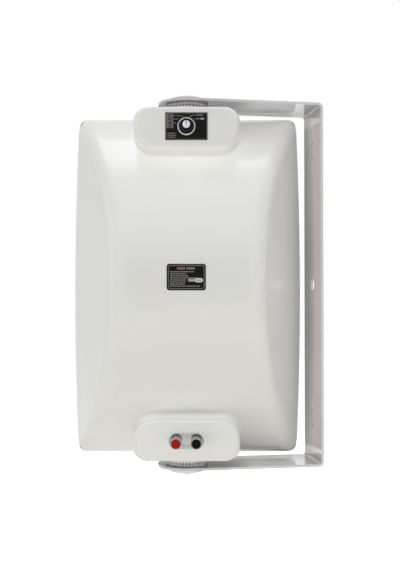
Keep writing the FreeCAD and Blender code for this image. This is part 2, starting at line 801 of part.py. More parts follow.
def grille():
    sheet_form = cut("grille_pan", grille_form("grille_outside", size_of(0), BAFFLE_FRONT),
                     grille_form("grille_inside", d.grille_sheet, BAFFLE_FRONT - d.overshoot))
    border = d.bezel + d.grille_gap + d.opening_margin
    across_flats = d.opening * math.sqrt(3)
    field_width = d.rim_width - 2 * d.side_bow - 2 * border - across_flats
    opening_pitch = field_width / (d.opening_columns - 1)
    row_pitch = opening_pitch * math.sqrt(3) / 2
    rows = int(((d.rim_height / 2 - border - d.opening) / row_pitch).value)
    punches = []
    for row in range(-rows, rows + 1):
        count = int(d.opening_columns.value) - abs(row) % 2
        for column in (i - (count - 1) / 2 for i in range(count)):
            punch = DOC.addObject("Part::Prism", "grille_punch")
            punch.Polygon = 6
            bind(punch, "Circumradius", d.opening)
            bind(punch, "Height", d.recess_depth + d.overshoot)
            punch.Placement = FreeCAD.Placement(
                FreeCAD.Vector(), FreeCAD.Rotation(FreeCAD.Vector(1, 0, 0), -90)
                * FreeCAD.Rotation(FreeCAD.Vector(0, 0, 1), 30))
            bind(punch, "Placement.Base.x", column * opening_pitch)
            bind(punch, "Placement.Base.y", BAFFLE_FRONT + d.grille_edge)
            bind(punch, "Placement.Base.z", row * row_pitch)
            punches.append(punch)
    cabinet_node(cut("grille_punched", sheet_form, grouped("grille_punches", punches)), "grille")


# Woofer

def dome_arc(radius, rise):
    """Radius of the arc over a dome of that rim radius and rise."""
    return (radius * radius + rise * rise) / (2 * rise)


def woofer():
    y = BAFFLE_FRONT
    back = y - d.basket_depth
    inner = d.woofer_cutout - 2 * d.basket_sheet
    basket = turned_y("basket", [
        (d.woofer_flange, y),
        (d.woofer_flange, y + d.flange_sheet),
        (inner, y + d.flange_sheet),
        (inner, y),
        (d.basket_foot - d.basket_sheet, back + d.basket_sheet),
        (d.plate_radius * 2 / 3, back + d.basket_sheet),
        (d.plate_radius * 2 / 3, back),
        (d.basket_foot, back),
        (d.woofer_cutout - d.basket_sheet, y),
    ], d.woofer_z)
    windows = sketch_on(basket, "XZ_Plane")
    low = d.basket_foot + 3 * d.basket_sheet
    high = inner - 5 * d.basket_sheet
    half_low = low * math.sin(math.radians(18))
    half_high = high * math.sin(math.radians(21))
    outline(windows, [
        (-half_low, d.woofer_z + low),
        (half_low, d.woofer_z + low),
        (half_high, d.woofer_z + high),
        (-half_high, d.woofer_z + high),
    ])
    window = pocket(basket, windows)
    ring = basket.newObject("PartDesign::PolarPattern", "basket_windows")
    ring.Originals = [window]
    ring.Axis = (basket.Group[0], ["V_Axis"])
    ring.Angle = 360
    ring.Occurrences = 6
    basket.Tip = ring
    screw_length = d.driver_screw_length
    front = y + d.flange_sheet
    holes = [cylinder_y("woofer_hole", d.driver_screw + d.pilot_fit, screw_length, x, y - d.baffle, z)
             for x, z in driver_screw_places(d.woofer_screw_circle, d.woofer_z)]
    drilled = cut("basket_drilled", basket, grouped("woofer_holes", holes))
    cabinet_node(drilled, "woofer_basket")
    cabinet_node(grouped("woofer_screw_set", [
        screw(f"woofer_screw_{i}", x, front, z, screw_length)
        for i, (x, z) in enumerate(driver_screw_places(d.woofer_screw_circle, d.woofer_z))]),
        "woofer_screws")

    mouth = front
    neck = mouth - d.cone_depth
    cabinet_node(turned_y("cone", [
        (d.cone_radius, mouth - d.cone_paper),
        (d.cone_radius, mouth),
        (d.cone_neck, neck),
        (d.cone_neck, neck - d.cone_paper),
    ], d.woofer_z), "woofer_cone")

    hold = d.cone_radius + d.slack * 1.5
    middle = hold + d.roll_radius
    small = d.roll_radius - d.roll_rubber
    cabinet_node(turned_y("surround", [
        (hold, front),
        (hold + d.roll_rubber, front, -small),
        (middle, front + small, -small),
        (middle + small, front),
        (middle + d.roll_radius, front, d.roll_radius),
        (middle, front + d.roll_radius, d.roll_radius),
    ], d.woofer_z), "woofer_surround")

    slope = d.cone_depth / (d.cone_radius - d.cone_neck)
    seat = neck + (d.cap_radius - d.cone_neck) * slope + d.slack / 2
    cabinet_node(turned_y("dust_cap_dome", [
        (size_of(0), seat + d.cap_rise, -dome_arc(d.cap_radius - d.cone_paper, d.cap_rise)),
        (d.cap_radius - d.cone_paper, seat),
        (d.cap_radius, seat, dome_arc(d.cap_radius, d.cap_rise + d.cone_paper)),
        (size_of(0), seat + d.cap_rise + d.cone_paper),
    ], d.woofer_z), "woofer_dust_cap")

    coil_inner = d.coil_radius - d.coil_sheet
    winding_top = back
    winding_end = back - 2 * d.plate_sheet
    cabinet_node(turned_y("coil", [
        (coil_inner, neck),
        (d.coil_radius, neck),
        (d.coil_radius, winding_top),
        (d.coil_radius + d.winding, winding_top),
        (d.coil_radius + d.winding, winding_end),
        (coil_inner, winding_end),
    ], d.woofer_z), "voice_coil")

    cabinet_node(spider(back + d.basket_sheet), "woofer_spider")

    gap_outer = d.coil_radius + d.winding + d.coil_gap
    plate_rear = back - d.plate_sheet
    cabinet_node(turned_y("pole_plate", [
        (gap_outer, plate_rear), (d.plate_radius, plate_rear), (d.plate_radius, back), (gap_outer, back),
    ], d.woofer_z), "front_pole_plate")
    magnet_rear = plate_rear - d.magnet_height
    bore = gap_outer + 5 * d.coil_gap
    cabinet_node(turned_y("magnet", [
        (bore, magnet_rear), (d.magnet_radius, magnet_rear), (d.magnet_radius, plate_rear), (bore, plate_rear),
    ], d.woofer_z), "woofer_magnet")
    pole = coil_inner - d.coil_gap
    cabinet_node(turned_y("yoke", [
        (size_of(0), magnet_rear - d.yoke_sheet),
        (d.plate_radius, magnet_rear - d.yoke_sheet),
        (d.plate_radius, magnet_rear),
        (pole, magnet_rear),
        (pole, back),
        (size_of(0), back),
    ], d.woofer_z), "pole_yoke")


def spider(foot):
    """Corrugated centring disc that stands on the basket's back."""
    inner = d.coil_radius + d.winding + d.coil_gap
    outer = d.basket_foot - 3 * d.basket_sheet
    waves = 8
    step = (outer - inner) / waves
    level = foot + 5 * d.basket_sheet
    upper, lower = [], []
    for i in range(waves):
        lift = d.basket_sheet / 2 if i % 2 else size_of(0)
        upper.append((inner + i * step, level + lift + d.roll_rubber))
        lower.append((inner + i * step, level + lift))
    rim = [(outer - step / 2, level + d.roll_rubber), (outer, foot), (outer - step, foot)]
    return turned_y("spider", lower[:1] + [upper[0]] + upper[1:] + rim + lower[:0:-1], d.woofer_z)


# Tweeter

def tweeter():
    y = BAFFLE_FRONT
    rear = y - d.hub_depth
    plate = turned_y("tweeter_front", [
        (d.tweeter_plate, y),
        (d.tweeter_plate, y + d.tweeter_sheet),
        (d.tweeter_cutout - d.tweeter_sheet, y + d.tweeter_sheet),
        (d.tweeter_throat, y - d.hub_depth / 2),
        (d.tweeter_throat, rear),
        (d.tweeter_hub, rear),
        (d.tweeter_hub, y),
    ], d.tweeter_z)
    places = driver_screw_places(d.tweeter_screw_circle, d.tweeter_z)
    holes = [cylinder_y("tweeter_hole", d.driver_screw + d.pilot_fit, d.driver_screw_length, x, y - d.baffle, z)
             for x, z in places]
    cabinet_node(cut("tweeter_drilled", plate, grouped("tweeter_holes", holes)), "tweeter_faceplate")
    front = y + d.tweeter_sheet
    cabinet_node(grouped("tweeter_screw_set", [
        screw(f"tweeter_screw_{i}", x, front, z, d.driver_screw_length) for i, (x, z) in enumerate(places)]),
        "tweeter_screws")
    rim = d.tweeter_throat + d.hub_depth
    cabinet_node(turned_y("dome", [
        (size_of(0), rear + d.dome_rise - d.film, -dome_arc(d.dome_radius - d.film, d.dome_rise)),
        (d.dome_radius - d.film, rear - d.film),
        (rim, rear - d.film),
        (rim, rear),
        (d.dome_radius, rear, dome_arc(d.dome_radius, d.dome_rise)),
        (size_of(0), rear + d.dome_rise),
    ], d.tweeter_z), "tweeter_dome")
    cabinet_node(turned_y("tweeter_cup", [
        (size_of(0), rear - d.cup_depth),
        (d.tweeter_hub, rear - d.cup_depth),
        (d.tweeter_hub, rear),
        (rim + d.slack / 2, rear),
        (rim + d.slack / 2, rear - d.film),
        (d.tweeter_throat, rear - d.film),
        (d.tweeter_throat, rear - d.hub_depth),
        (size_of(0), rear - d.hub_depth),
    ], d.tweeter_z), "tweeter_magnet")


def screw(name, x, y, z, length):
    """A pan-head screw whose head seats at y, pointing to the back."""
    return turned_y(name, [
        (size_of(0), y - length),
        (d.driver_screw, y - length),
        (d.driver_screw, y),
        (d.screw_head, y),
        (d.screw_head, y + d.screw_head_height / 2),
        (d.screw_head / 2, y + d.screw_head_height),
        (size_of(0), y + d.screw_head_height),
    ], z, x)


# Crossover board and line transformer

def crossover():
    rear = -d.board_rear
    front = rear + d.board_sheet
    plain = block("board_sheet", d.board_width, d.board_sheet, d.board_height, size_of(0), rear, d.board_z)
    holes = [cylinder_y("board_hole", d.driver_screw + d.pilot_fit, 2 * d.overshoot, x, rear - d.overshoot, z)
             for x, z in board_fixings()]
    cabinet_node(cut("board_drilled", plain, grouped("board_holes", holes)), "crossover_board")
    cabinet_node(grouped("board_screw_set", [
        screw(f"board_screw_{i}", x, front, z, d.driver_screw_length)
        for i, (x, z) in enumerate(board_fixings())]), "board_screws")
    high = d.board_z + d.board_height / 2 - d.board_margin - d.stack_height / 2
    stack = block("core_stack", d.stack_width, d.stack_depth, d.stack_height, size_of(0),
                  front + (d.bobbin_depth - d.stack_depth) / 2, high)
    window = block("core_window", d.stack_width / 2, d.bobbin_depth, d.stack_height * 2 / 3, size_of(0), front, high)
    winding = block("bobbin", d.stack_width / 2, d.bobbin_depth, d.stack_height * 2 / 3, size_of(0), front, high)
    cabinet_node(cut("core_open", stack, window), "transformer_core")
    cabinet_node(winding, "transformer_winding")
    low = d.board_z - d.board_height / 2 + d.board_margin + d.choke_radius
    left = -d.board_width / 2 + 3 * d.board_margin + d.choke_radius / 2
    hole = d.choke_radius / 3
    cabinet_node(turned_y("choke", [
        (hole, front), (d.choke_radius, front), (d.choke_radius, front + d.choke_height),
        (hole, front + d.choke_height),
    ], low, left), "crossover_choke")
    cans = []
    for i in range(2):
        can = DOC.addObject("Part::Cylinder", "capacitor")
        bind(can, "Radius", d.capacitor_radius)
        bind(can, "Height", d.capacitor_length)
        bind(can, "Placement.Base.x", d.capacitor_radius * (1 + 2.2 * i))
        bind(can, "Placement.Base.y", front + d.capacitor_radius)
        bind(can, "Placement.Base.z", low - d.choke_radius)
        cans.append(can)
    cabinet_node(grouped("capacitor_set", cans), "crossover_capacitors")


def case_screws():
    cabinet_node(grouped("case_screw_set", [
        screw(f"case_screw_{i}", x, BAFFLE_FRONT, z, d.case_screw_length)
        for i, (x, z) in enumerate(tower_places())]), "case_screws")


# Swivel: toothed rings, inserts, screws, washers and knobs

def toothed_ring(name, profile, crest, root_level):
    """A ring whose end face has radial teeth that narrow towards the axis."""
    body = turned(name, profile)
    inner, outer = d.tooth_inner - d.slack, d.ratchet_radius + d.slack
    depth = crest - root_level
    sections = []
    for radius in (inner, outer):
        sketch = sketch_on(body, "YZ_Plane", radius)
        half = radius * math.pi / d.tooth_count * 0.9
        rise = depth * (1 + d.slack)
        outline(sketch, [(-half, root_level + rise), (size_of(0), root_level), (half, root_level + rise)])
        sections.append(sketch)
    groove = body.newObject("PartDesign::SubtractiveLoft", f"{name}_groove")
    groove.Profile = sections[0]
    groove.Sections = sections[1:]
    groove.Ruled = True
    teeth = body.newObject("PartDesign::PolarPattern", f"{name}_teeth")
    teeth.Originals = [groove]
    teeth.Axis = (body.Group[0], ["V_Axis"])
    teeth.Angle = 360
    bind(teeth, "Occurrences", d.tooth_count)
    body.Tip = teeth
    return body


def swivel():
    relief = BOSS_CREST - 2 * d.tooth_depth
    lower_ring = toothed_ring("boss_ring_form", [
        (d.ratchet_bore, BOSS_END),
        (d.ratchet_radius, BOSS_END),
        (d.ratchet_radius, BOSS_CREST),
        (d.tooth_inner, BOSS_CREST),
        (d.tooth_inner, relief),
        (d.ratchet_bore, relief),
    ], BOSS_CREST, BOSS_CREST - d.tooth_depth)
    arm_relief = (ARM_CREST + d.tooth_depth + ARM_INNER) / 2
    upper_ring = toothed_ring("arm_ring_form", [
        (d.pivot_hole, arm_relief),
        (d.tooth_inner, arm_relief),
        (d.tooth_inner, ARM_CREST),
        (d.ratchet_radius, ARM_CREST),
        (d.ratchet_radius, ARM_INNER),
        (d.pivot_hole, ARM_INNER),
    ], ARM_CREST, ARM_CREST + d.tooth_depth)
    pegs = []
    for side in (-1, 1):
        peg = cylinder_z("ring_peg", d.peg_radius, d.strip + d.slack, ARM_INNER - d.slack)
        bind(peg, "Placement.Base.y", side * d.peg_offset)
        pegs.append(peg)
    arm_ring = joined("arm_ring_pegged", [upper_ring] + pegs)

    insert = turned("insert_form", [
        (d.screw_radius + d.screw_fit, BOSS_END - d.insert_length),
        (d.insert_radius, BOSS_END - d.insert_length),
        (d.insert_radius, BOSS_END),
        (d.screw_radius + d.screw_fit, BOSS_END),
    ])
    seat = ARM_OUTER + d.slack
    washer = turned("washer_form", [
        (d.screw_radius + d.slack, seat),
        (d.washer_radius, seat),
        (d.washer_radius, seat + d.washer_sheet),
        (d.screw_radius + d.slack, seat + d.washer_sheet),
    ])
    base = seat + d.washer_sheet
    bore = d.screw_radius + d.screw_fit
    skirt = seat + d.knob_lift
    rim_top = skirt + d.knob_rim
    dome_rise = base + d.knob_height - rim_top - d.head_height / 2
    knob = turned("knob_form", [
        (bore, base),
        (d.washer_radius + d.slack, base),
        (d.washer_radius + d.slack, skirt),
        (d.knob_radius - d.washer_sheet / 2, skirt),
        (d.knob_radius, skirt + d.washer_sheet / 2),
        (d.knob_radius, rim_top),
        (d.knob_radius - d.washer_sheet, rim_top + dome_rise / 2),
        (d.knob_step + d.washer_sheet, rim_top + dome_rise),
        (d.knob_step, rim_top + dome_rise),
        (d.knob_step - d.washer_sheet, base + d.knob_height),
        (bore, base + d.knob_height),
    ])
    top = base + d.knob_height
    stem = turned("pivot_screw_form", [
        (size_of(0), BOSS_END - d.insert_length + d.slack),
        (d.screw_radius, BOSS_END - d.insert_length + d.slack),
        (d.screw_radius, top),
        (d.knob_head, top),
        (d.knob_head, top + d.head_height / 2),
        (d.knob_head - d.head_height / 2, top + d.head_height),
        (size_of(0), top + d.head_height),
    ])
    for form, label, turn in (
        (lower_ring, "boss_ratchet", 180 - d.swing),
        (arm_ring, "arm_ratchet", 0),
        (insert, "threaded_insert", 180 - d.swing),
        (washer, "pivot_washer", 180 - d.swing),
        (knob, "pivot_knob", 180 - d.swing),
        (stem, "pivot_screw", 180 - d.swing),
    ):
        node(form, f"{label}_top", turn)
        node(inverted(f"{label}_below", form), f"{label}_bottom", turn)


# Bent steel bracket, drawn about its wall plate

def bracket():
    body = new_body("u_bracket_body")
    end = REACH + d.strip_width / 2
    bend, inner = d.bend_radius, d.bend_radius - d.strip
    profile = sketch_on(body, "YZ_Plane")
    outline(profile, [
        (-end, -ARM_OUTER),
        (-bend, -ARM_OUTER, bend),
        (size_of(0), -ARM_OUTER + bend),
        (size_of(0), ARM_OUTER - bend, bend),
        (-bend, ARM_OUTER),
        (-end, ARM_OUTER),
        (-end, ARM_INNER),
        (-bend, ARM_INNER, -inner),
        (-d.strip, ARM_OUTER - bend),
        (-d.strip, -ARM_OUTER + bend, -inner),
        (-bend, -ARM_INNER),
        (-end, -ARM_INNER),
    ])
    pad(body, profile, d.strip_width, symmetric=True)
    half = d.strip_width / 2
    ends = sketch_on(body, "XY_Plane")
    far = -REACH - half - d.overshoot
    outline(ends, [
        (-half - d.overshoot, far),
        (half + d.overshoot, far),
        (half + d.overshoot, -REACH),
        (half, -REACH, -half),
        (size_of(0), -REACH - half, -half),
        (-half, -REACH),
        (-half - d.overshoot, -REACH),
    ])
    pocket(body, ends)
    pivots = sketch_on(body, "XY_Plane")
    circle(pivots, d.pivot_hole, size_of(0), -REACH)
    for side in (-1, 1):
        circle(pivots, d.peg_radius + d.pilot_fit, size_of(0), -REACH + side * d.peg_offset)
    pocket(body, pivots)
    wall_holes = sketch_on(body, "XZ_Plane", -d.overshoot)
    circle(wall_holes, d.centre_hole)
    for side in (-1, 1):
        circle(wall_holes, d.screw_hole, size_of(0), side * d.screw_hole_z)
        keyhole(wall_holes, side * d.keyhole_z)
    pocket(body, wall_holes, 2 * d.overshoot, reverse=True)
    node(body, "u_bracket")


def keyhole(sketch, z):
    """A round entry with a narrower slot above it, for hanging on a screw."""
    big, small = d.keyhole, d.keyhole_slot
    shoulder = root(big * big - small * small)
    top = z + d.keyhole_rise
    outline(sketch, [
        (small, z + shoulder),
        (small, top - small, small),
        (size_of(0), top, small),
        (-small, top - small),
        (-small, z + shoulder, big),
        (-big, z, big),
        (size_of(0), z - big, big),
        (big, z, big),
    ])


# Tap selector on the upper boss

def tap_selector():
    z = FITTING_Z
    floor = BOSS_FACE + d.tap_plate_seat
    face = floor - d.tap_plate_sheet
    body = new_body("tap_plate_body")
    sketch = sketch_on(body, "XZ_Plane", -floor)
    half = d.tap_plate_height / 2
    rectangle(sketch, -d.tap_plate_width / 2, z - half, d.tap_plate_width / 2, z + half)
    circle(sketch, d.bushing_radius + d.plate_fit, size_of(0), z)
    pad(body, sketch, d.tap_plate_sheet)
    cabinet_node(body, "tap_plate")
    inner = d.dial_radius - d.dial_width
    cabinet_node(turned_y("dial", [
        (inner, face), (d.dial_radius, face),
        (d.dial_radius - d.dial_sheet / 2, face - d.dial_sheet), (inner, face - d.dial_sheet),
    ], z), "dial_ring")
    inside = BOSS_FACE + d.wall
    bore = d.shaft_radius + d.screw_fit
    cabinet_node(turned_y("switch", [
        (bore, inside + d.switch_depth), (d.switch_radius, inside + d.switch_depth),
        (d.switch_radius, inside), (d.bushing_radius, inside), (d.bushing_radius, face), (bore, face),
    ], z), "tap_switch")
    knob_base = face - d.slack * 2
    knob_top = knob_base - d.tap_knob_height
    cabinet_node(turned_y("shaft", [
        (size_of(0), inside + d.switch_depth), (d.shaft_radius, inside + d.switch_depth),
        (d.shaft_radius, knob_top + d.tap_cap_height), (size_of(0), knob_top + d.tap_cap_height),
    ], z), "tap_shaft")
    cabinet_node(turned_y("tap_knob_form", [
        (d.shaft_radius, knob_base),
        (d.tap_knob_radius, knob_base),
        (d.tap_knob_radius - d.tap_cap_height / 2, knob_top),
        (size_of(0), knob_top),
        (size_of(0), knob_top + d.tap_cap_height),
        (d.shaft_radius, knob_top + d.tap_cap_height),
    ], z), "tap_knob")
    cap = turned_y("tap_cap_form", [
        (size_of(0), knob_top), (d.tap_cap, knob_top),
        (d.tap_cap - d.tap_cap_height / 4, knob_top - d.tap_cap_height),
        (size_of(0), knob_top - d.tap_cap_height),
    ], z)
    length = d.tap_knob_radius - d.tap_cap_height / 2
    pointer = block("pointer", d.pointer_width, d.tap_cap_height / 2, length, size_of(0),
                    knob_top - d.tap_cap_height / 2, z + length / 2)
    cabinet_node(joined("tap_cap_pointer", [cap, pointer]), "tap_pointer")


# Binding posts on the lower boss

def binding_posts():
    floor = BOSS_FACE + d.pocket_depth
    end = BOSS_FACE - d.post_reach
    collar_end = floor - d.collar_height
    cap_base = collar_end - d.cap_travel
    plug_seat = end + d.plug_height
    stud_end = plug_seat + d.plug_height
    nut_face = floor + d.wall
    z = -FITTING_Z
    nuts = []
    for colour, side in (("red", -1), ("black", 1)):
        x = side * d.post_spacing / 2
        cabinet_node(turned_y(f"post_{colour}", [
            (size_of(0), stud_end), (d.stud_radius, stud_end), (d.stud_radius, collar_end),
            (d.collar_radius, collar_end), (d.collar_radius, floor), (d.stud_radius, floor),
            (d.stud_radius, nut_face + 2 * d.nut_height), (size_of(0), nut_face + 2 * d.nut_height),
        ], z, x), f"binding_post_{colour}")
        bore = d.stud_radius + d.screw_fit
        cabinet_node(turned_y(f"cap_{colour}", [
            (bore, cap_base),
            (d.post_cap - d.cap_travel / 4, cap_base),
            (d.post_cap, cap_base - d.cap_travel / 4),
            (d.post_cap, end + d.cap_travel / 4),
            (d.post_cap - d.cap_travel / 4, end),
            (d.post_plug, end),
            (d.post_plug, plug_seat),
            (size_of(0), plug_seat),
            (size_of(0), stud_end - d.slack),
            (bore, stud_end - d.slack),
        ], z, x), f"terminal_cap_{colour}")
        cabinet_node(turned_y(f"plug_{colour}", [
            (size_of(0), plug_seat), (d.post_plug, plug_seat), (d.post_plug, end),
            (d.post_plug - d.plug_proud / 2, end - d.plug_proud), (size_of(0), end - d.plug_proud),
        ], z, x), f"terminal_plug_{colour}")
        nut = DOC.addObject("Part::Prism", f"nut_{colour}")
        nut.Polygon = 6
        bind(nut, "Circumradius", d.nut_radius)
        bind(nut, "Height", d.nut_height)
        nut.Placement = FreeCAD.Placement(FreeCAD.Vector(), FreeCAD.Rotation(FreeCAD.Vector(1, 0, 0), -90))
        for axis, size in zip("xyz", (x, nut_face, z)):
            bind(nut, f"Placement.Base.{axis}", size)
        hole = cylinder_y(f"nut_hole_{colour}", d.stud_radius + d.pilot_fit, 2 * d.nut_height, x,
                          nut_face - d.nut_height / 2, z)
        nuts.append(cut(f"nut_bored_{colour}", nut, hole))
    cabinet_node(grouped("nut_set", nuts), "post_nuts")


def rear_label():
    """Thin label bent to the crown at the middle of the back."""
    body = new_body("label_body")
    centre = CROWN_Y + d.crown_radius
    sketch = sketch_on(body, "XZ_Plane", -CROWN_Y - d.overshoot)
    half = d.label_height / 2
    rounded_rectangle(sketch, d.label_width / 2, d.label_z - half, d.label_z + half,
                      d.label_corner, d.label_corner)
    pad(body, sketch, 2 * d.overshoot)
    keep_inside(body, "YZ_Plane", d.crown_radius + d.label_sheet, centre, size_of(0), 2 * d.overshoot)
    inside = sketch_on(body, "YZ_Plane")
    circle(inside, d.crown_radius, centre, size_of(0))
    pocket(body, inside)
    cabinet_node(body, "rear_label")


def check_and_export():
    """Stops on any failed object or bad shape, then writes one STEP file for each node."""
    DOC.recompute()
    failed = [thing.Name for thing in DOC.Objects if {"Invalid", "Error"} & set(thing.State)]
    if failed:
        raise RuntimeError(f"failed objects: {failed}")
    for label, thing in NODES:
        shape = thing.Shape
        if shape.isNull() or not shape.isValid() or not shape.Solids:
            raise RuntimeError(f"{label} has no valid solid")
    os.makedirs("parts", exist_ok=True)
    for label, thing in NODES:
        thing.Shape.exportStep(f"parts/{label}.step")


rear_cabinet()
front_frame()
gasket()
grille()
woofer()
tweeter()
crossover()
case_screws()
swivel()
bracket()
tap_selector()
binding_posts()
rear_label()
check_and_export()
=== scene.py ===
"""Looks of the wall loudspeaker: materials, fine print, perforated grille, studio and camera."""

import json
import math

import bmesh
import bpy
from mathutils import Matrix, Vector


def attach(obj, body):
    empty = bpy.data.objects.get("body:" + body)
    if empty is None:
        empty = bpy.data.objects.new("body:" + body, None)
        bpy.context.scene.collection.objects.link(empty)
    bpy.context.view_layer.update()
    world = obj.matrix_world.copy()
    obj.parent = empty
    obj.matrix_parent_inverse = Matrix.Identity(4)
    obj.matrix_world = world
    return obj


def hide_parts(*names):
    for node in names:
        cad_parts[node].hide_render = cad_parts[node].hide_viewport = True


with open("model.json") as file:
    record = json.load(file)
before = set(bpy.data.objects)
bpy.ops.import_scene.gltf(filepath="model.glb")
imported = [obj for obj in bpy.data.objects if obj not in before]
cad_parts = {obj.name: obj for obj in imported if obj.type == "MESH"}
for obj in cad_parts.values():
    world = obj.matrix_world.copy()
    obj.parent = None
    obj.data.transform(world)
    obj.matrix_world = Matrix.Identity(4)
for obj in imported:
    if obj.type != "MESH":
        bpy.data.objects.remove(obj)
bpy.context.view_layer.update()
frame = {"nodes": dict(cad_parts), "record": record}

MM = 0.001
SWIVEL = next(joint for joint in frame["record"]["behaviour"]["joints"] if joint["name"] == "swivel")
TURN = math.radians(180 - SWIVEL["range_deg"][1] / 2)
TURNED = Matrix.Rotation(TURN, 4, "Z")
TO_ROW = Matrix.Translation(SWIVEL["pos_m"]) @ TURNED

# Sizes of the solids that the fine pieces sit on, in millimetres

RIM_WIDTH, RIM_HEIGHT, SIDE_BOW = 236.0, 348.0, 4.0
RIM_FRONT, SEAM, FRAME_DEPTH, RECESS_DEPTH = 42.0, 1.5, 40.0, 15.0
FRAME_FRONT = RIM_FRONT + SEAM + FRAME_DEPTH
BAFFLE_FRONT = FRAME_FRONT - RECESS_DEPTH
CROWN_RADIUS, CROWN_Y = 219.0, -46.0
FITTING_Z = 150.0
BOSS_FACE = -40.0
PLATE_SEAT, PLATE_SHEET = 0.7, 1.2
PLATE_FACE = BOSS_FACE + PLATE_SEAT - PLATE_SHEET
PLATE_HALF_WIDTH, PLATE_HALF_HEIGHT = 20.25, 13.25
LABEL_Z, LABEL_HALF_WIDTH, LABEL_HALF_HEIGHT, LABEL_SHEET = 5.6, 18.5, 12.5, 0.5
POST_SPACING, POST_REACH, POCKET_DEPTH, COLLAR_HEIGHT, CAP_TRAVEL = 19.05, 16.0, 12.0, 4.0, 3.0
KNOB_GAP, KNOB_HEIGHT, TAP_CAP_HEIGHT = 0.4, 8.0, 1.6


def at_cabinet(x, y, z):
    """A point given in millimetres across, forward and up from the swivel axis, in the row frame."""
    return TO_ROW @ Vector((x * MM, y * MM, z * MM))


def placed(name, data):
    """A new object in the scene."""
    thing = bpy.data.objects.new(name, data)
    bpy.context.scene.collection.objects.link(thing)
    return thing


# Materials

DRIFT_SCALE, DRIFT_DETAIL, DRIFT_ROUGHNESS = 9.0, 3.0, 0.55
DRIFT_START, DRIFT_END = 0.3, 0.7
GRAIN_DETAIL, GRAIN_ROUGHNESS, GRAIN_STRENGTH = 4.0, 0.6, 0.25
PAINTED_SHADE_SAMPLES = 8


def nodes_of(name):
    """A new material with its node tree and main shader."""
    material = bpy.data.materials.new(name)
    material.use_nodes = True
    tree = material.node_tree
    return material, tree, tree.nodes["Principled BSDF"]


def add(tree, kind, **values):
    """A new node; each value goes to the input of that name, or else to the node itself."""
    node = tree.nodes.new(kind)
    for key, value in values.items():
        if key in node.inputs:
            node.inputs[key].default_value = value
        else:
            setattr(node, key, value)
    return node


def noise(tree, scale, detail, roughness):
    """Noise that is fixed to the object."""
    where = add(tree, "ShaderNodeTexCoord")
    texture = add(tree, "ShaderNodeTexNoise", Scale=scale, Detail=detail, Roughness=roughness)
    tree.links.new(where.outputs["Object"], texture.inputs["Vector"])
    return texture.outputs["Fac"]


def ramp(tree, source, low, high):
    """Turns a value into a colour between two tones."""
    blend = add(tree, "ShaderNodeValToRGB")
    first, last = blend.color_ramp.elements
    first.position, first.color = DRIFT_START, (*low, 1)
    last.position, last.color = DRIFT_END, (*high, 1)
    tree.links.new(source, blend.inputs["Fac"])
    return blend.outputs["Color"]


def mapped(tree, source, spans, **settings):
    """Maps a value from one range to another; spans gives the sockets that differ from 0 to 1."""
    node = add(tree, "ShaderNodeMapRange", **settings)
    for socket, value in spans.items():
        node.inputs[socket].default_value = value
    tree.links.new(source, node.inputs["Value"])
    return node.outputs["Result"]


def from_middle(tree):
    """Distance from the object's own middle."""
    where = add(tree, "ShaderNodeTexCoord")
    length = add(tree, "ShaderNodeVectorMath", operation="LENGTH")
    tree.links.new(where.outputs["Object"], length.inputs[0])
    return length.outputs["Value"]


def grained(name, low, high, rough, grain, depth, metallic=0.0, coat=0.0, specular=0.5, painted_shade_reach=0.0):
    """A surface with slow colour drift, uneven gloss and a fine grain.

    With a painted-shade reach the base colour is darkened by painted shade (ambient occlusion) where
    other surfaces close in on it.
    """
    material, tree, shader = nodes_of(name)
    drift = noise(tree, DRIFT_SCALE, DRIFT_DETAIL, DRIFT_ROUGHNESS)
    tone = ramp(tree, drift, low, high)
    # Painted shade: ambient occlusion darkens the base colour in hollows and under nearby parts
    if painted_shade_reach:
        shade = add(tree, "ShaderNodeAmbientOcclusion", Distance=painted_shade_reach, samples=PAINTED_SHADE_SAMPLES)
        tree.links.new(tone, shade.inputs["Color"])
        tone = shade.outputs["Color"]
    tree.links.new(tone, shader.inputs["Base Color"])
    fine = noise(tree, grain, GRAIN_DETAIL, GRAIN_ROUGHNESS)
    gloss = mapped(tree, fine, {"To Min": rough[0], "To Max": rough[1]})
    tree.links.new(gloss, shader.inputs["Roughness"])
    relief = add(tree, "ShaderNodeBump", Strength=GRAIN_STRENGTH, Distance=depth)
    tree.links.new(fine, relief.inputs["Height"])
    tree.links.new(relief.outputs["Normal"], shader.inputs["Normal"])
    shader.inputs["Metallic"].default_value = metallic
    shader.inputs["Coat Weight"].default_value = coat
    shader.inputs["Specular IOR Level"].default_value = specular
    return material


def metal(name, low, high, rough, grain, depth):
    return grained(name, low, high, rough, grain, depth, metallic=1.0)


def ink(name, low, high):
    return grained(name, low, high, (0.5, 0.65), 900, 0.00001, specular=0.3)


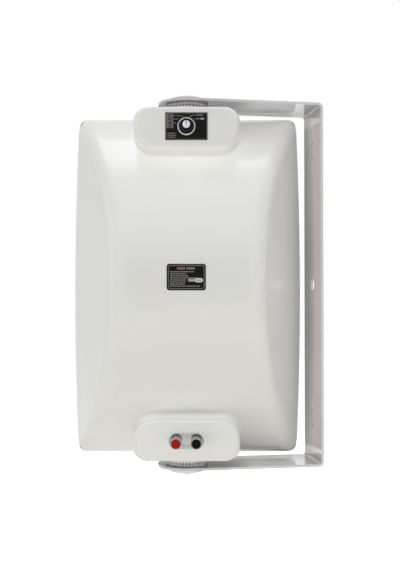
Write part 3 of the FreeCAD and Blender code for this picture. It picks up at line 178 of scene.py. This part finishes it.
# Each look: darker and lighter tone, least and most roughness, grain scale and grain depth
LOOKS = {
    "cabinet_white": grained(
        "moulded_white", (0.80, 0.80, 0.77), (0.83, 0.83, 0.80), (0.2, 0.3), 1800, 0.00003, coat=0.3),
    # Bracket enamel: painted shade darkens its colour under the arms and near the cabinet
    "bracket_paint": grained(
        "bracket_enamel", (0.66, 0.63, 0.64), (0.71, 0.68, 0.69), (0.12, 0.2), 500, 0.00002,
        coat=0.4, painted_shade_reach=0.024),
    # Grey mouldings: a short reach of painted shade darkens the ratchet notches
    "knob_grey": grained(
        "moulded_grey", (0.70, 0.685, 0.67), (0.77, 0.755, 0.74), (0.34, 0.48), 1500, 0.00004,
        painted_shade_reach=0.002),
    "gasket_rubber": grained(
        "gasket", (0.26, 0.26, 0.25), (0.33, 0.33, 0.32), (0.6, 0.8), 900, 0.00005),
    "grille_paint": grained(
        "grille_enamel", (0.74, 0.74, 0.72), (0.79, 0.79, 0.77), (0.35, 0.5), 900, 0.00004),
    "plate_black": grained(
        "printed_black", (0.005, 0.005, 0.005), (0.009, 0.008, 0.008), (0.42, 0.55), 1400, 0.00002,
        specular=0.1),
    "dial_grey": grained(
        "dial_grey", (0.56, 0.56, 0.55), (0.66, 0.66, 0.65), (0.35, 0.5), 900, 0.00003),
    "knob_black": grained(
        "knob_black", (0.004, 0.004, 0.005), (0.009, 0.009, 0.009), (0.3, 0.45), 1100, 0.00003,
        specular=0.07),
    "bright_metal": metal(
        "spun_aluminium", (0.68, 0.72, 0.77), (0.77, 0.80, 0.85), (0.5, 0.62), 700, 0.00003),
    "chrome_posts": metal(
        "chrome", (0.32, 0.32, 0.32), (0.46, 0.45, 0.45), (0.04, 0.14), 500, 0.00001),
    "red_plastic": grained(
        "red_plastic", (0.33, 0.005, 0.003), (0.40, 0.009, 0.005), (0.25, 0.4), 900, 0.00003,
        specular=0.12),
    "black_plastic": grained(
        "black_plastic", (0.003, 0.003, 0.003), (0.006, 0.006, 0.006), (0.25, 0.4), 900, 0.00003,
        specular=0.06),
    "steel": metal(
        "plated_steel", (0.55, 0.55, 0.56), (0.70, 0.70, 0.70), (0.2, 0.36), 700, 0.00002),
    "insert_brass": metal(
        "insert_brass", (0.60, 0.42, 0.16), (0.74, 0.55, 0.26), (0.22, 0.36), 700, 0.00002),
    "basket_paint": grained(
        "basket_black", (0.02, 0.02, 0.02), (0.045, 0.045, 0.045), (0.35, 0.5), 900, 0.00004),
    "cone_paper": grained(
        "cone_paper", (0.03, 0.03, 0.03), (0.07, 0.068, 0.065), (0.7, 0.9), 420, 0.00022),
    "spider_cloth": grained(
        "spider_cloth", (0.42, 0.29, 0.11), (0.58, 0.42, 0.20), (0.7, 0.9), 1500, 0.0002),
    "coil_copper": metal(
        "coil_copper", (0.50, 0.20, 0.08), (0.72, 0.34, 0.16), (0.25, 0.4), 1500, 0.0001),
    "pole_steel": metal(
        "pole_steel", (0.35, 0.35, 0.34), (0.48, 0.48, 0.47), (0.3, 0.45), 700, 0.00004),
    "ferrite": grained(
        "ferrite", (0.045, 0.045, 0.048), (0.09, 0.09, 0.092), (0.5, 0.7), 600, 0.0001),
    "tweeter_black": grained(
        "tweeter_black", (0.02, 0.02, 0.02), (0.045, 0.045, 0.045), (0.45, 0.6), 1800, 0.00006),
    "dome_cloth": grained(
        "dome_cloth", (0.03, 0.03, 0.032), (0.06, 0.06, 0.062), (0.6, 0.8), 2200, 0.00012),
    "board": grained(
        "board_laminate", (0.26, 0.17, 0.06), (0.36, 0.26, 0.11), (0.4, 0.55), 500, 0.00005),
    "capacitor_film": grained(
        "capacitor_film", (0.50, 0.28, 0.02), (0.62, 0.38, 0.06), (0.2, 0.35), 300, 0.00004),
}
GREY_INK = ink("grey_print", (0.23, 0.23, 0.225), (0.30, 0.30, 0.295))
DIM_INK = ink("dim_print", (0.11, 0.11, 0.105), (0.155, 0.155, 0.145))
WARM_INK = ink("warm_print", (0.22, 0.165, 0.115), (0.30, 0.235, 0.175))
WHITE_INK = ink("white_print", (0.62, 0.62, 0.61), (0.7, 0.7, 0.69))
PALE_INK = ink("pale_print", (0.30, 0.30, 0.295), (0.38, 0.38, 0.37))
BLACK_INK = LOOKS["plate_black"]
SLOT_OF = {entry["node"]: entry["material_slot"] for entry in frame["record"]["subparts"]}
NODE_CREASE, PIECE_CREASE, TURNED_CREASE = 32, 30, 35


def smooth_by_angle(mesh, degrees):
    """Smooth shading with creases kept where faces turn sharply."""
    mesh.polygons.foreach_set("use_smooth", [True] * len(mesh.polygons))
    mesh.set_sharp_from_angle(angle=math.radians(degrees))


for name, thing in frame["nodes"].items():
    thing.data.materials.clear()
    thing.data.materials.append(LOOKS[SLOT_OF[name]])
    smooth_by_angle(thing.data, NODE_CREASE)


# Fine pieces

class Build:
    """Collects points and faces of one piece."""

    def __init__(self):
        self.verts, self.faces = [], []

    def add(self, *points):
        first = len(self.verts)
        self.verts.extend(points)
        return list(range(first, first + len(points)))

    def loops(self, rings, closed=False):
        """Skins a run of rings of equal length; closed joins the last to the first."""
        ids = [self.add(*ring) for ring in rings]
        pairs = list(zip(ids, ids[1:])) + ([(ids[-1], ids[0])] if closed else [])
        for low, high in pairs:
            for i in range(len(low)):
                j = (i + 1) % len(low)
                self.faces.append((low[i], low[j], high[j], high[i]))
        return ids


def piece(name, build, look, body, crease=PIECE_CREASE):
    """A mesh from points in millimetres, carried into the row frame and set to ride on a body."""
    mesh = bpy.data.meshes.new(name)
    mesh.from_pydata([tuple(at_cabinet(*point)) for point in build.verts], [], build.faces)
    mesh.validate()
    shell = bmesh.new()
    shell.from_mesh(mesh)
    bmesh.ops.recalc_face_normals(shell, faces=shell.faces)
    shell.to_mesh(mesh)
    shell.free()
    mesh.materials.append(look)
    smooth_by_angle(mesh, crease)
    thing = placed(name, mesh)
    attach(thing, body)
    return thing


SIDE_STEPS, CORNER_STEPS, END_STEPS = 18, 6, 10


def rim_loop(inset, corner):
    """Points round the bowed front outline, drawn in by an inset."""
    half_width, half_height = RIM_WIDTH / 2 - inset, RIM_HEIGHT / 2 - inset
    side, run = half_width - SIDE_BOW, half_height - corner
    bow = (run * run + SIDE_BOW * SIDE_BOW) / (2 * SIDE_BOW)
    quarter = []
    for i in range(SIDE_STEPS):
        z = run * i / SIDE_STEPS
        quarter.append((half_width - bow + math.sqrt(bow * bow - z * z), z))
    for i in range(CORNER_STEPS + 1):
        angle = math.radians(90 * i / CORNER_STEPS)
        quarter.append((side - corner + corner * math.cos(angle), run + corner * math.sin(angle)))
    for i in range(1, END_STEPS):
        quarter.append(((side - corner) * (1 - i / END_STEPS), half_height))
    points = []
    for sx, sz in ((1, 1), (-1, 1), (-1, -1), (1, -1)):
        part = [(sx * x, sz * z) for x, z in quarter]
        if sx == sz:
            points += part + [(0, sz * half_height)]
        else:
            points += part[:0:-1]
    return points


GRILLE_INSET, GRILLE_CORNER, GRILLE_LEAST_CORNER = 6.5, 6.0, 1.0
GRILLE_EDGE, GRILLE_SHEET, GRILLE_BORDER, ROLL_STEPS = 4.0, 1.2, 9.0, 4
GRILLE_BULGE, GRILLE_RADIUS = 7.0, 950.0
FIELD_INSET, FIELD_FRONT, FIELD_BACK = 7.5, 0.1, 1.0
HOLE_PITCH, HOLE_RADIUS, HOLE_SIDES, CELL_SIDES = 6.0, 2.05, 12, 6
KEY_DIGITS = 2


def grille_front(x):
    """Front of the bowed sheet."""
    return FRAME_FRONT + GRILLE_BULGE - (GRILLE_RADIUS - math.sqrt(GRILLE_RADIUS ** 2 - x * x))


def grille_pan(build):
    """Solid border of the pan: its sides, the rolled edge and a plain strip round the holes."""

    def ring(inset, drop):
        corner = max(GRILLE_CORNER - inset, GRILLE_LEAST_CORNER)
        return [(x, grille_front(x) - drop, z) for x, z in rim_loop(GRILLE_INSET + inset, corner)]

    def foot(inset):
        return [(x, BAFFLE_FRONT, z) for x, _, z in ring(inset, 0)]

    def roll(radius, inset):
        turns = [math.radians(90 * i / ROLL_STEPS) for i in range(ROLL_STEPS + 1)]
        return [ring(inset + radius * (1 - math.cos(turn)), GRILLE_EDGE - radius * math.sin(turn))
                for turn in turns]

    outer = [foot(0)] + roll(GRILLE_EDGE, 0) + [ring(GRILLE_BORDER, 0)]
    inner = [foot(GRILLE_SHEET)] + roll(GRILLE_EDGE - GRILLE_SHEET, GRILLE_SHEET)
    inner.append(ring(GRILLE_BORDER, GRILLE_SHEET))
    build.loops(outer + inner[::-1], closed=True)


def grille_field(build):
    """Staggered field of round holes, one in each six-sided cell."""
    corners, edges = {}, {}
    half_width = RIM_WIDTH / 2 - GRILLE_INSET - FIELD_INSET
    half_height = RIM_HEIGHT / 2 - GRILLE_INSET - FIELD_INSET
    row_pitch = HOLE_PITCH * math.sqrt(3) / 2
    cell_radius = HOLE_PITCH / math.sqrt(3)
    rows = int(half_height / row_pitch)

    def through(x, z):
        """Front and back point of the sheet."""
        return build.add((x, grille_front(x) - FIELD_FRONT, z), (x, grille_front(x) - FIELD_BACK, z))

    def shared(x, z):
        """A cell corner, made once for all the cells that meet there."""
        key = (round(x, KEY_DIGITS), round(z, KEY_DIGITS))
        if key not in corners:
            corners[key] = through(x, z)
        return corners[key]

    def around(x, z, radius, sides, make):
        turns = [math.radians(360 * i / sides) for i in range(sides)]
        return [make(x + radius * math.sin(turn), z + radius * math.cos(turn)) for turn in turns]

    def pierced(x, z):
        cell = around(x, z, cell_radius, CELL_SIDES, shared)
        hole = around(x, z, HOLE_RADIUS, HOLE_SIDES, through)
        for i in range(CELL_SIDES):
            a, b = cell[i], cell[(i + 1) % CELL_SIDES]
            h = [hole[(2 * i + k) % HOLE_SIDES] for k in range(3)]
            build.faces.append((a[0], b[0], h[2][0], h[1][0], h[0][0]))
            build.faces.append((b[1], a[1], h[0][1], h[1][1], h[2][1]))
            pair = frozenset((a[0], b[0]))
            edges[pair] = None if pair in edges else (a, b)
        for i in range(HOLE_SIDES):
            a, b = hole[i], hole[(i + 1) % HOLE_SIDES]
            build.faces.append((a[0], b[0], b[1], a[1]))

    for row in range(-rows, rows + 1):
        z = row * row_pitch
        odd = row % 2
        bow = SIDE_BOW * (z / half_height) ** 2
        columns = int((half_width - bow - odd * HOLE_PITCH / 2) / HOLE_PITCH)
        for column in range(-columns - odd, columns + 1):
            pierced((column + odd / 2) * HOLE_PITCH, z)
    for edge in edges.values():
        if edge:
            a, b = edge
            build.faces.append((b[0], a[0], a[1], b[1]))


def grille():
    """Bowed steel pan with a rolled border and a staggered field of round holes."""
    build = Build()
    grille_pan(build)
    grille_field(build)
    thing = piece("grille_perforated", build, LOOKS["grille_paint"], "cabinet")
    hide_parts("grille")


# Print, drawn as plain bars and lines in place of words

BAND_STEP = 3.0
LOZENGE_STEPS = 8
PRINT_SINK, PRINT_SHEET, PLATE_PRINT_SHEET, INK_SHEET = 0.02, 0.06, 0.05, 0.04


def plates(name, shapes, depth_of, thick, look, body="cabinet"):
    """Thin flat prints: closed outlines in x and z laid on a surface, with a small thickness."""
    build = Build()
    for shape in shapes:
        low = build.add(*[(x, depth_of(x, z), z) for x, z in shape])
        high = build.add(*[(x, depth_of(x, z) - thick, z) for x, z in shape])
        build.faces.append(tuple(low))
        build.faces.append(tuple(reversed(high)))
        for i in range(len(shape)):
            j = (i + 1) % len(shape)
            build.faces.append((low[j], low[i], high[i], high[j]))
    return piece(name, build, look, body)


def bar(x0, z0, x1, z1):
    return [(x0, z0), (x1, z0), (x1, z1), (x0, z1)]


def band(points, width):
    """An open line of a given width as short bars, which follow a curved surface."""
    shapes = []
    for (x0, z0), (x1, z1) in zip(points, points[1:]):
        length = math.hypot(x1 - x0, z1 - z0)
        nx, nz = (z0 - z1) / length * width / 2, (x1 - x0) / length * width / 2
        count = math.ceil(length / BAND_STEP)
        stops = [(x0 + (x1 - x0) * i / count, z0 + (z1 - z0) * i / count) for i in range(count + 1)]
        for (xa, za), (xb, zb) in zip(stops, stops[1:]):
            shapes.append([(xa + nx, za + nz), (xb + nx, zb + nz),
                           (xb - nx, zb - nz), (xa - nx, za - nz)])
    return shapes


def lozenge(x, z, half, radius):
    """A bar with round ends."""
    points = []
    for side in (1, -1):
        for i in range(LOZENGE_STEPS + 1):
            angle = math.radians(-90 + 180 * i / LOZENGE_STEPS)
            reach = half - radius + radius * math.cos(angle)
            points.append((x + side * reach, z + side * radius * math.sin(angle)))
    return points


def on_label(x, z):
    """Height of the label's printed face, which follows the crown."""
    radius = CROWN_RADIUS + LABEL_SHEET
    return CROWN_Y + CROWN_RADIUS - math.sqrt(radius * radius - z * z) + PRINT_SINK


def on_plate(x, z):
    """Height of the tap plate's printed face."""
    return PLATE_FACE + PRINT_SINK


BORDER_LINE = 0.5
LABEL_MARGIN, LABEL_CUT = 1.6, 1.2
TITLE_BARS = (-8.6, -6.6, -4.6, -2.6, 0.4, 2.4, 4.4, 6.4)
TITLE_WIDTH, TITLE_LOW, TITLE_HIGH = 1.5, 3.6, 1.7
ROW_SHARES = (0.74, 0.50, 0.56, 0.86, 0.50, 0.48, 0.46, 0.92)
ROW_START, ROW_PITCH, ROW_HEIGHT, ROW_INDENT = 6.2, 1.95, 0.8, 1.6
WORD_WIDTHS, WORD_GAP = (2.1, 1.2, 2.8, 1.6), 0.55
PATCH_Z = LABEL_Z - 2.9
PATCH, PATCH_SHEET = lozenge(12.0, PATCH_Z, 3.8, 2.0), 0.09
PATCH_TAIL, PATCH_TAIL_SHEET = lozenge(5.2, PATCH_Z, 3.5, 1.4), 0.075
PATCH_INK_HALF, PATCH_INK_RISE = 0.6, 0.08
PATCH_INK = [bar(left, PATCH_Z - PATCH_INK_HALF, right, PATCH_Z + PATCH_INK_HALF)
             for left, right in ((10.0, 11.3), (12.2, 14.0))]


def label_rows(left, right, high):
    """Rows of bars of uneven length, as words would lie."""
    bars = []
    for row, share in enumerate(ROW_SHARES):
        z = high - ROW_START - ROW_PITCH * row
        x = left + ROW_INDENT
        end = x + share * (right - left - 2 * ROW_INDENT)
        word = row
        while x < end:
            width = WORD_WIDTHS[word % len(WORD_WIDTHS)]
            bars.append(bar(x, z, min(x + width, end), z + ROW_HEIGHT))
            x += width + WORD_GAP
            word += 1
    return bars


def label_print():
    """Border line, title, rows and pale patch of the label on the back."""
    left, right = -LABEL_HALF_WIDTH + LABEL_MARGIN, LABEL_HALF_WIDTH - LABEL_MARGIN
    low = LABEL_Z - LABEL_HALF_HEIGHT + LABEL_MARGIN
    high = LABEL_Z + LABEL_HALF_HEIGHT - LABEL_MARGIN
    inner_left, inner_right = left + LABEL_CUT, right - LABEL_CUT
    inner_low, inner_high = low + LABEL_CUT, high - LABEL_CUT
    border = [(inner_left, low), (inner_right, low), (right, inner_low), (right, inner_high),
              (inner_right, high), (inner_left, high), (left, inner_high), (left, inner_low),
              (inner_left, low)]
    plates("label_border", band(border, BORDER_LINE), on_label, PRINT_SHEET, WARM_INK)
    title = [bar(x, high - TITLE_LOW, x + TITLE_WIDTH, high - TITLE_HIGH) for x in TITLE_BARS]
    plates("label_title", title, on_label, PRINT_SHEET, WARM_INK)
    plates("label_rows", label_rows(left, right, high), on_label, PRINT_SHEET, GREY_INK)
    plates("label_patch", [PATCH], on_label, PATCH_SHEET, WHITE_INK)
    plates("label_patch_tail", [PATCH_TAIL], on_label, PATCH_TAIL_SHEET, PALE_INK)
    plates("label_patch_ink", PATCH_INK, lambda x, z: on_label(x, z) - PATCH_INK_RISE,
           INK_SHEET, BLACK_INK)


PLATE_TOP, PLATE_BASE = FITTING_Z + PLATE_HALF_HEIGHT, FITTING_Z - PLATE_HALF_HEIGHT
PLATE_EDGE, LEADER_LINE, BLOCK_INK_RISE = 0.55, 0.42, 0.03
BLOCKS, BLOCK_START, BLOCK_PITCH, BLOCK_LEFT, BLOCK_RIGHT = 4, 4.4, 3.5, -19.2, -12.4
BLOCK_LOW, BLOCK_HIGH = -0.2, 3.0
BLOCK_INK = ((-17.5, 1.55, -13.2, 2.15), (-17.5, 0.55, -14.6, 1.15))
NOTES, NOTE_START, NOTE_PITCH, NOTE_HEIGHT, NOTE_LEFT = 3, 2.2, 1.9, 0.95, -18.2
NOTE_RIGHT, NOTE_STAGGER = -10.6, 0.8
TICK_RADIUS = 10.0
# Dial settings in degrees, each with the row that its leader line runs to
LEFT_SETTINGS, RIGHT_SETTINGS = ((-75, 2), (-45, 1), (-15, 0)), ((15, 0), (45, 1))
LEFT_BEND, LEFT_END, LEFT_START = -10.6, -12.0, 3.0
RIGHT_BEND, RIGHT_END, RIGHT_START, RIGHT_PITCH = 7.6, 9.4, 2.6, 3.6
MARK_WIDTH, MARK_PITCH = 1.1, 1.6
# Rows of marks right of the dial: how many, where the first starts, lower and upper edge from the top
MARK_ROWS = ((4, 10.0, 3.1, 2.0), (2, 9.8, 6.6, 5.6))
OFF_MARK = lozenge(15.2, PLATE_TOP - 6.1, 1.9, 0.85)


def tap_border():
    side, low, high = PLATE_HALF_WIDTH - PLATE_EDGE, PLATE_BASE + PLATE_EDGE, PLATE_TOP - PLATE_EDGE
    line = [(-side, low), (side, low), (side, high), (-side, high), (-side, low)]
    plates("tap_border", band(line, BORDER_LINE), on_plate, PLATE_PRINT_SHEET, WARM_INK)


def tap_blocks():
    """Setting blocks down the left with ink bars on them, and short notes under them."""
    blocks, marks = [], []
    for i in range(BLOCKS):
        z = PLATE_TOP - BLOCK_START - BLOCK_PITCH * i
        blocks.append(bar(BLOCK_LEFT, z + BLOCK_LOW, BLOCK_RIGHT, z + BLOCK_HIGH))
        marks += [bar(x0, z + z0, x1, z + z1) for x0, z0, x1, z1 in BLOCK_INK]
    for i in range(NOTES):
        z = PLATE_BASE + NOTE_START + NOTE_PITCH * i
        blocks.append(bar(NOTE_LEFT, z, NOTE_RIGHT + NOTE_STAGGER * (i % 2), z + NOTE_HEIGHT))
    plates("tap_blocks", blocks, on_plate, PLATE_PRINT_SHEET, DIM_INK)
    plates("tap_block_ink", marks, lambda x, z: PLATE_FACE - BLOCK_INK_RISE,
           INK_SHEET, BLACK_INK)


def tap_leaders():
    """Lines from the settings round the dial to the blocks and marks."""

    def tick(degrees):
        angle = math.radians(degrees)
        return TICK_RADIUS * math.sin(angle), FITTING_Z + TICK_RADIUS * math.cos(angle)

    leaders = []
    for setting, row in LEFT_SETTINGS:
        z = PLATE_TOP - LEFT_START - BLOCK_PITCH * row
        leaders += band([tick(setting), (LEFT_BEND, z), (LEFT_END, z)], LEADER_LINE)
    for setting, row in RIGHT_SETTINGS:
        z = PLATE_TOP - RIGHT_START - RIGHT_PITCH * row
        leaders += band([tick(setting), (RIGHT_BEND, z), (RIGHT_END, z)], LEADER_LINE)
    plates("tap_leaders", leaders, on_plate, PLATE_PRINT_SHEET, GREY_INK)


def tap_print():
    """Border, setting blocks, leader lines and marks round the dial."""
    tap_border()
    tap_blocks()
    tap_leaders()
    marks = []
    for count, first, low, high in MARK_ROWS:
        lefts = [first + MARK_PITCH * i for i in range(count)]
        marks += [bar(x, PLATE_TOP - low, x + MARK_WIDTH, PLATE_TOP - high) for x in lefts]
    plates("tap_marks", marks, on_plate, PLATE_PRINT_SHEET, GREY_INK)
    plates("tap_off_mark", [OFF_MARK], on_plate, PLATE_PRINT_SHEET, PALE_INK)


# Turned fittings

FINE_SEGMENTS, PLUG_SEGMENTS, DISC_SEGMENTS = 96, 64, 72
FLUTES, CAP_FLUTE_DEPTH, KNOB_FLUTE_DEPTH = 24, 0.35, 0.3
CORE = 0.3


def turned_piece(name, profile, x, z, body, slot, segments, flute=None, ring_shaped=False):
    """A body turned about the fore-and-aft axis; flute gives (depth, first, last) of fluted rings."""
    build = Build()
    rings = []
    for index, (radius, y) in enumerate(profile):
        ring = []
        for i in range(segments):
            angle = 2 * math.pi * i / segments
            reach = radius
            if flute and flute[1] <= index <= flute[2]:
                reach -= flute[0] * (0.5 - 0.5 * math.cos(FLUTES * angle))
            ring.append((x + reach * math.cos(angle), y, z + reach * math.sin(angle)))
        rings.append(ring)
    ids = build.loops(rings, closed=ring_shaped)
    if not ring_shaped:
        build.faces.append(tuple(ids[0]))
        build.faces.append(tuple(reversed(ids[-1])))
    return piece(name, build, LOOKS[slot], body, TURNED_CREASE)


POST_CAP, POST_CAP_NECK, POST_CAP_BORE, NOSE_BORE, END_RADIUS = 5.2, 4.7, 2.6, 4.3, 4.2


def terminal_caps():
    """Fluted chromed caps, each with a polished nose round a dished coloured end."""
    end = BOSS_FACE - POST_REACH
    base = BOSS_FACE + POCKET_DEPTH - COLLAR_HEIGHT - CAP_TRAVEL
    cap_profile = [
        (POST_CAP_BORE, base), (4.4, base), (4.9, base - 0.4), (POST_CAP, base - 1.2),
        (POST_CAP, base - 1.6), (POST_CAP, base - 9.4), (POST_CAP, base - 9.8),
        (POST_CAP_NECK, base - 10.4), (POST_CAP_NECK, base - 11.4), (POST_CAP, base - 12.0),
        (POST_CAP, end + 0.9), (5.05, end + 0.35), (4.8, end), (4.45, end),
        (NOSE_BORE, end + 0.25), (NOSE_BORE, end + 1.9),
    ]
    end_profile = [
        (CORE, end + 1.8), (END_RADIUS, end + 1.8), (END_RADIUS, end + 0.1), (4.0, end - 0.25),
        (3.7, end - 0.35), (3.4, end - 0.2), (2.9, end + 0.6), (2.7, end + 0.7), (CORE, end + 0.7),
    ]
    for colour, side in (("red", -1), ("black", 1)):
        x = side * POST_SPACING / 2
        cap = turned_piece(f"terminal_cap_{colour}_fluted", cap_profile, x, -FITTING_Z,
                           f"{colour}_cap", "chrome_posts", FINE_SEGMENTS, (CAP_FLUTE_DEPTH, 4, 5))
        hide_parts(f"terminal_cap_{colour}")
        plug = turned_piece(f"terminal_plug_{colour}_domed", end_profile, x, -FITTING_Z,
                            f"{colour}_cap", f"{colour}_plastic", PLUG_SEGMENTS)
        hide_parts(f"terminal_plug_{colour}")


TAP_CAP, POINTER_HALF, POINTER_START, POINTER_END = 3.6, 0.5, 0.3, 3.2
DIAL_RADIUS, DIAL_WIDTH = 8.6, 1.25


def tap_knob():
    """Dark fluted knob with its bright cap and pointer line, and the dial ring round it."""
    base = PLATE_FACE - KNOB_GAP
    tip = base - KNOB_HEIGHT
    knob_profile = [
        (3.2, base), (6.7, base), (7.0, base - 0.3), (7.0, base - 1.0), (6.3, base - 1.6),
        (6.2, base - 2.2), (5.9, tip + 1.0), (5.7, tip + 0.4), (5.2, tip), (0.4, tip),
    ]
    knob = turned_piece("tap_knob_fluted", knob_profile, 0, FITTING_Z, "tap", "knob_black",
                        FINE_SEGMENTS, (KNOB_FLUTE_DEPTH, 5, 6))
    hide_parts("tap_knob")
    face = tip - TAP_CAP_HEIGHT
    cap_profile = [
        (CORE, tip), (TAP_CAP, tip), (TAP_CAP, tip - 0.9), (3.45, face + 0.3), (3.15, face),
        (CORE, face),
    ]
    cap = turned_piece("tap_cap_turned", cap_profile, 0, FITTING_Z, "tap", "bright_metal",
                       DISC_SEGMENTS)
    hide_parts("tap_pointer")
    line = bar(-POINTER_HALF, FITTING_Z + POINTER_START, POINTER_HALF, FITTING_Z + POINTER_END)
    plates("tap_pointer_line", [line], lambda x, z: face + PRINT_SINK, INK_SHEET, DIM_INK, body="tap")
    inner = DIAL_RADIUS - DIAL_WIDTH
    ring_profile = [
        (inner, PLATE_FACE), (DIAL_RADIUS, PLATE_FACE), (DIAL_RADIUS, PLATE_FACE - 0.4),
        (DIAL_RADIUS - 0.3, PLATE_FACE - 0.75), (DIAL_RADIUS - 0.6, PLATE_FACE - 0.8),
        (DIAL_RADIUS - 0.95, PLATE_FACE - 0.75), (inner, PLATE_FACE - 0.4),
    ]
    dial = turned_piece("dial_ring_rounded", ring_profile, 0, FITTING_Z, "cabinet", "dial_grey",
                        FINE_SEGMENTS, ring_shaped=True)
    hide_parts("dial_ring")


grille()
label_print()
tap_print()
terminal_caps()
tap_knob()


# Studio

def white_to_lens(tree, lighting, shown):
    """Mixes a lighting shader with another for rays that show the background itself."""
    rays = add(tree, "ShaderNodeLightPath")
    direct = rays.outputs["Is Camera Ray"]
    for kind in ("Is Glossy Ray", "Is Transmission Ray"):
        either = add(tree, "ShaderNodeMath", operation="MAXIMUM")
        tree.links.new(direct, either.inputs[0])
        tree.links.new(rays.outputs[kind], either.inputs[1])
        direct = either.outputs[0]
    pick = add(tree, "ShaderNodeMixShader")
    tree.links.new(direct, pick.inputs["Fac"])
    tree.links.new(lighting.outputs[0], pick.inputs[1])
    tree.links.new(shown.outputs[0], pick.inputs[2])
    return pick.outputs[0]


WORLD_LIGHT, WORLD_COLOUR, WHITE = 0.30, (0.985, 0.99, 1.0, 1), (1, 1, 1, 1)


def surroundings():
    """Even light from all sides that shows as plain white."""
    world = bpy.data.worlds.new("studio")
    bpy.context.scene.world = world
    world.use_nodes = True
    tree = world.node_tree
    tree.nodes.clear()
    ambient = add(tree, "ShaderNodeBackground", Color=WORLD_COLOUR, Strength=WORLD_LIGHT)
    backdrop = add(tree, "ShaderNodeBackground", Color=WHITE, Strength=1.0)
    output = add(tree, "ShaderNodeOutputWorld")
    tree.links.new(white_to_lens(tree, ambient, backdrop), output.inputs["Surface"])


def soft_light(name, place, target, size, power, colour, mirrored=True, shadows=True):
    """Area lamp; one that is not mirrored leaves no highlight on glossy surfaces."""
    lamp = bpy.data.lights.new(name, "AREA")
    lamp.shape = "RECTANGLE"
    lamp.size, lamp.size_y = size
    lamp.energy = power
    lamp.color = colour
    lamp.use_shadow = shadows
    thing = placed(name, lamp)
    thing.location = at_cabinet(*place)
    aim = at_cabinet(*target) - thing.location
    thing.rotation_euler = aim.to_track_quat("-Z", "Y").to_euler()
    thing.visible_camera = False
    thing.visible_glossy = mirrored


COOL, NEUTRAL, WARM = (0.955, 0.965, 1.0), (0.99, 0.99, 1.0), (1.0, 0.985, 0.95)
DARK_ROOM_PLACE, DARK_ROOM_HALF, DARK_ROOM_CORE, DARK_ROOM_LEVEL = (0, -1500, 250), 0.75, 0.15, 0.2


def dark_room():
    """Dim patch behind the camera, fading to white; only mirrors show it, which gives metal contrast."""
    mesh = bpy.data.meshes.new("dark_room")
    half = DARK_ROOM_HALF
    corners = [(x, 0, z) for x, z in bar(-half, -half, half, half)]
    mesh.from_pydata(corners, [], [(0, 1, 2, 3)])
    look, tree, _ = nodes_of("dim_patch")
    spans = {"From Min": DARK_ROOM_CORE, "From Max": half, "To Min": DARK_ROOM_LEVEL, "To Max": 1.0}
    fade = mapped(tree, from_middle(tree), spans, interpolation_type="SMOOTHSTEP")
    glow = add(tree, "ShaderNodeEmission")
    tree.links.new(fade, glow.inputs["Strength"])
    tree.links.new(glow.outputs[0], tree.nodes["Material Output"].inputs["Surface"])
    mesh.materials.append(look)
    thing = placed("dark_room", mesh)
    thing.matrix_world = Matrix.Translation(at_cabinet(*DARK_ROOM_PLACE)) @ TURNED
    thing.visible_camera = False
    thing.visible_diffuse = False
    thing.visible_shadow = False
    thing.visible_transmission = False


FLOOR_LEVEL, FLOOR_HALF = -0.5, 6.0
FLOOR_COLOUR, FLOOR_ROUGHNESS, FLOOR_SPECULAR = (0.86, 0.85, 0.81, 1), 0.85, 0.1
FLOOR_LIFT = {"From Min": 0.35, "From Max": 1.2, "To Min": 0.12, "To Max": 0.8}


def floor():
    """Pale floor well under the object; it shows white, with the object's shadow left on it."""
    mesh = bpy.data.meshes.new("floor")
    grid = bmesh.new()
    bmesh.ops.create_grid(grid, x_segments=1, y_segments=1, size=FLOOR_HALF)
    grid.to_mesh(mesh)
    grid.free()
    thing = placed("floor", mesh)
    thing.location = (0, 0, FLOOR_LEVEL)
    look, tree, shader = nodes_of("pale_floor")
    shader.inputs["Base Color"].default_value = FLOOR_COLOUR
    shader.inputs["Roughness"].default_value = FLOOR_ROUGHNESS
    shader.inputs["Specular IOR Level"].default_value = FLOOR_SPECULAR
    lift = add(tree, "ShaderNodeEmission")
    tree.links.new(mapped(tree, from_middle(tree), FLOOR_LIFT), lift.inputs["Strength"])
    lifted = add(tree, "ShaderNodeAddShader")
    tree.links.new(shader.outputs[0], lifted.inputs[0])
    tree.links.new(lift.outputs[0], lifted.inputs[1])
    surface = white_to_lens(tree, shader, lifted)
    tree.links.new(surface, tree.nodes["Material Output"].inputs["Surface"])
    mesh.materials.append(look)


surroundings()
soft_light("top_wash", (0, -150, 1500), (0, 0, 60), (1.8, 0.6), 6.8, COOL, shadows=False)
soft_light("high_wash", (0, -700, 1400), (0, 0, 60), (1.8, 0.9), 9.2, COOL,
           mirrored=False, shadows=False)
soft_light("low_fill", (0, -1100, -380), (0, 0, 130), (1.8, 0.2), 2.2, WARM, mirrored=False)
soft_light("left_fill", (-1700, -250, 200), (0, 0, 0), (1.0, 1.4), 2.6, NEUTRAL)
soft_light("low_left", (-1000, -700, -380), (0, 0, -100), (0.8, 0.2), 1.6, WARM, mirrored=False)
soft_light("low_right", (1000, -700, -380), (0, 0, -100), (0.8, 0.2), 2.2, WARM,
           mirrored=False, shadows=False)
soft_light("grille_fill", (500, 1700, 700), (0, 60, 0), (1.6, 1.2), 17.0, NEUTRAL, mirrored=False)
dark_room()
floor()

# Camera at the photograph's viewpoint

CAMERA_PLACE = (13, -830, -18)
CAMERA_TILT = math.radians(90 + 1.18)
FOCAL_PIXELS, IMAGE_HEIGHT, SENSOR = 830, 570, 36
lens = bpy.data.cameras.new("camera")
lens.sensor_width = SENSOR
lens.lens = FOCAL_PIXELS * SENSOR / IMAGE_HEIGHT
camera = placed("camera", lens)
camera.matrix_world = (Matrix.Translation(at_cabinet(*CAMERA_PLACE)) @ TURNED
                       @ Matrix.Rotation(CAMERA_TILT, 4, "X"))
bpy.context.scene.camera = camera

bpy.context.scene.view_settings.view_transform = "Standard"
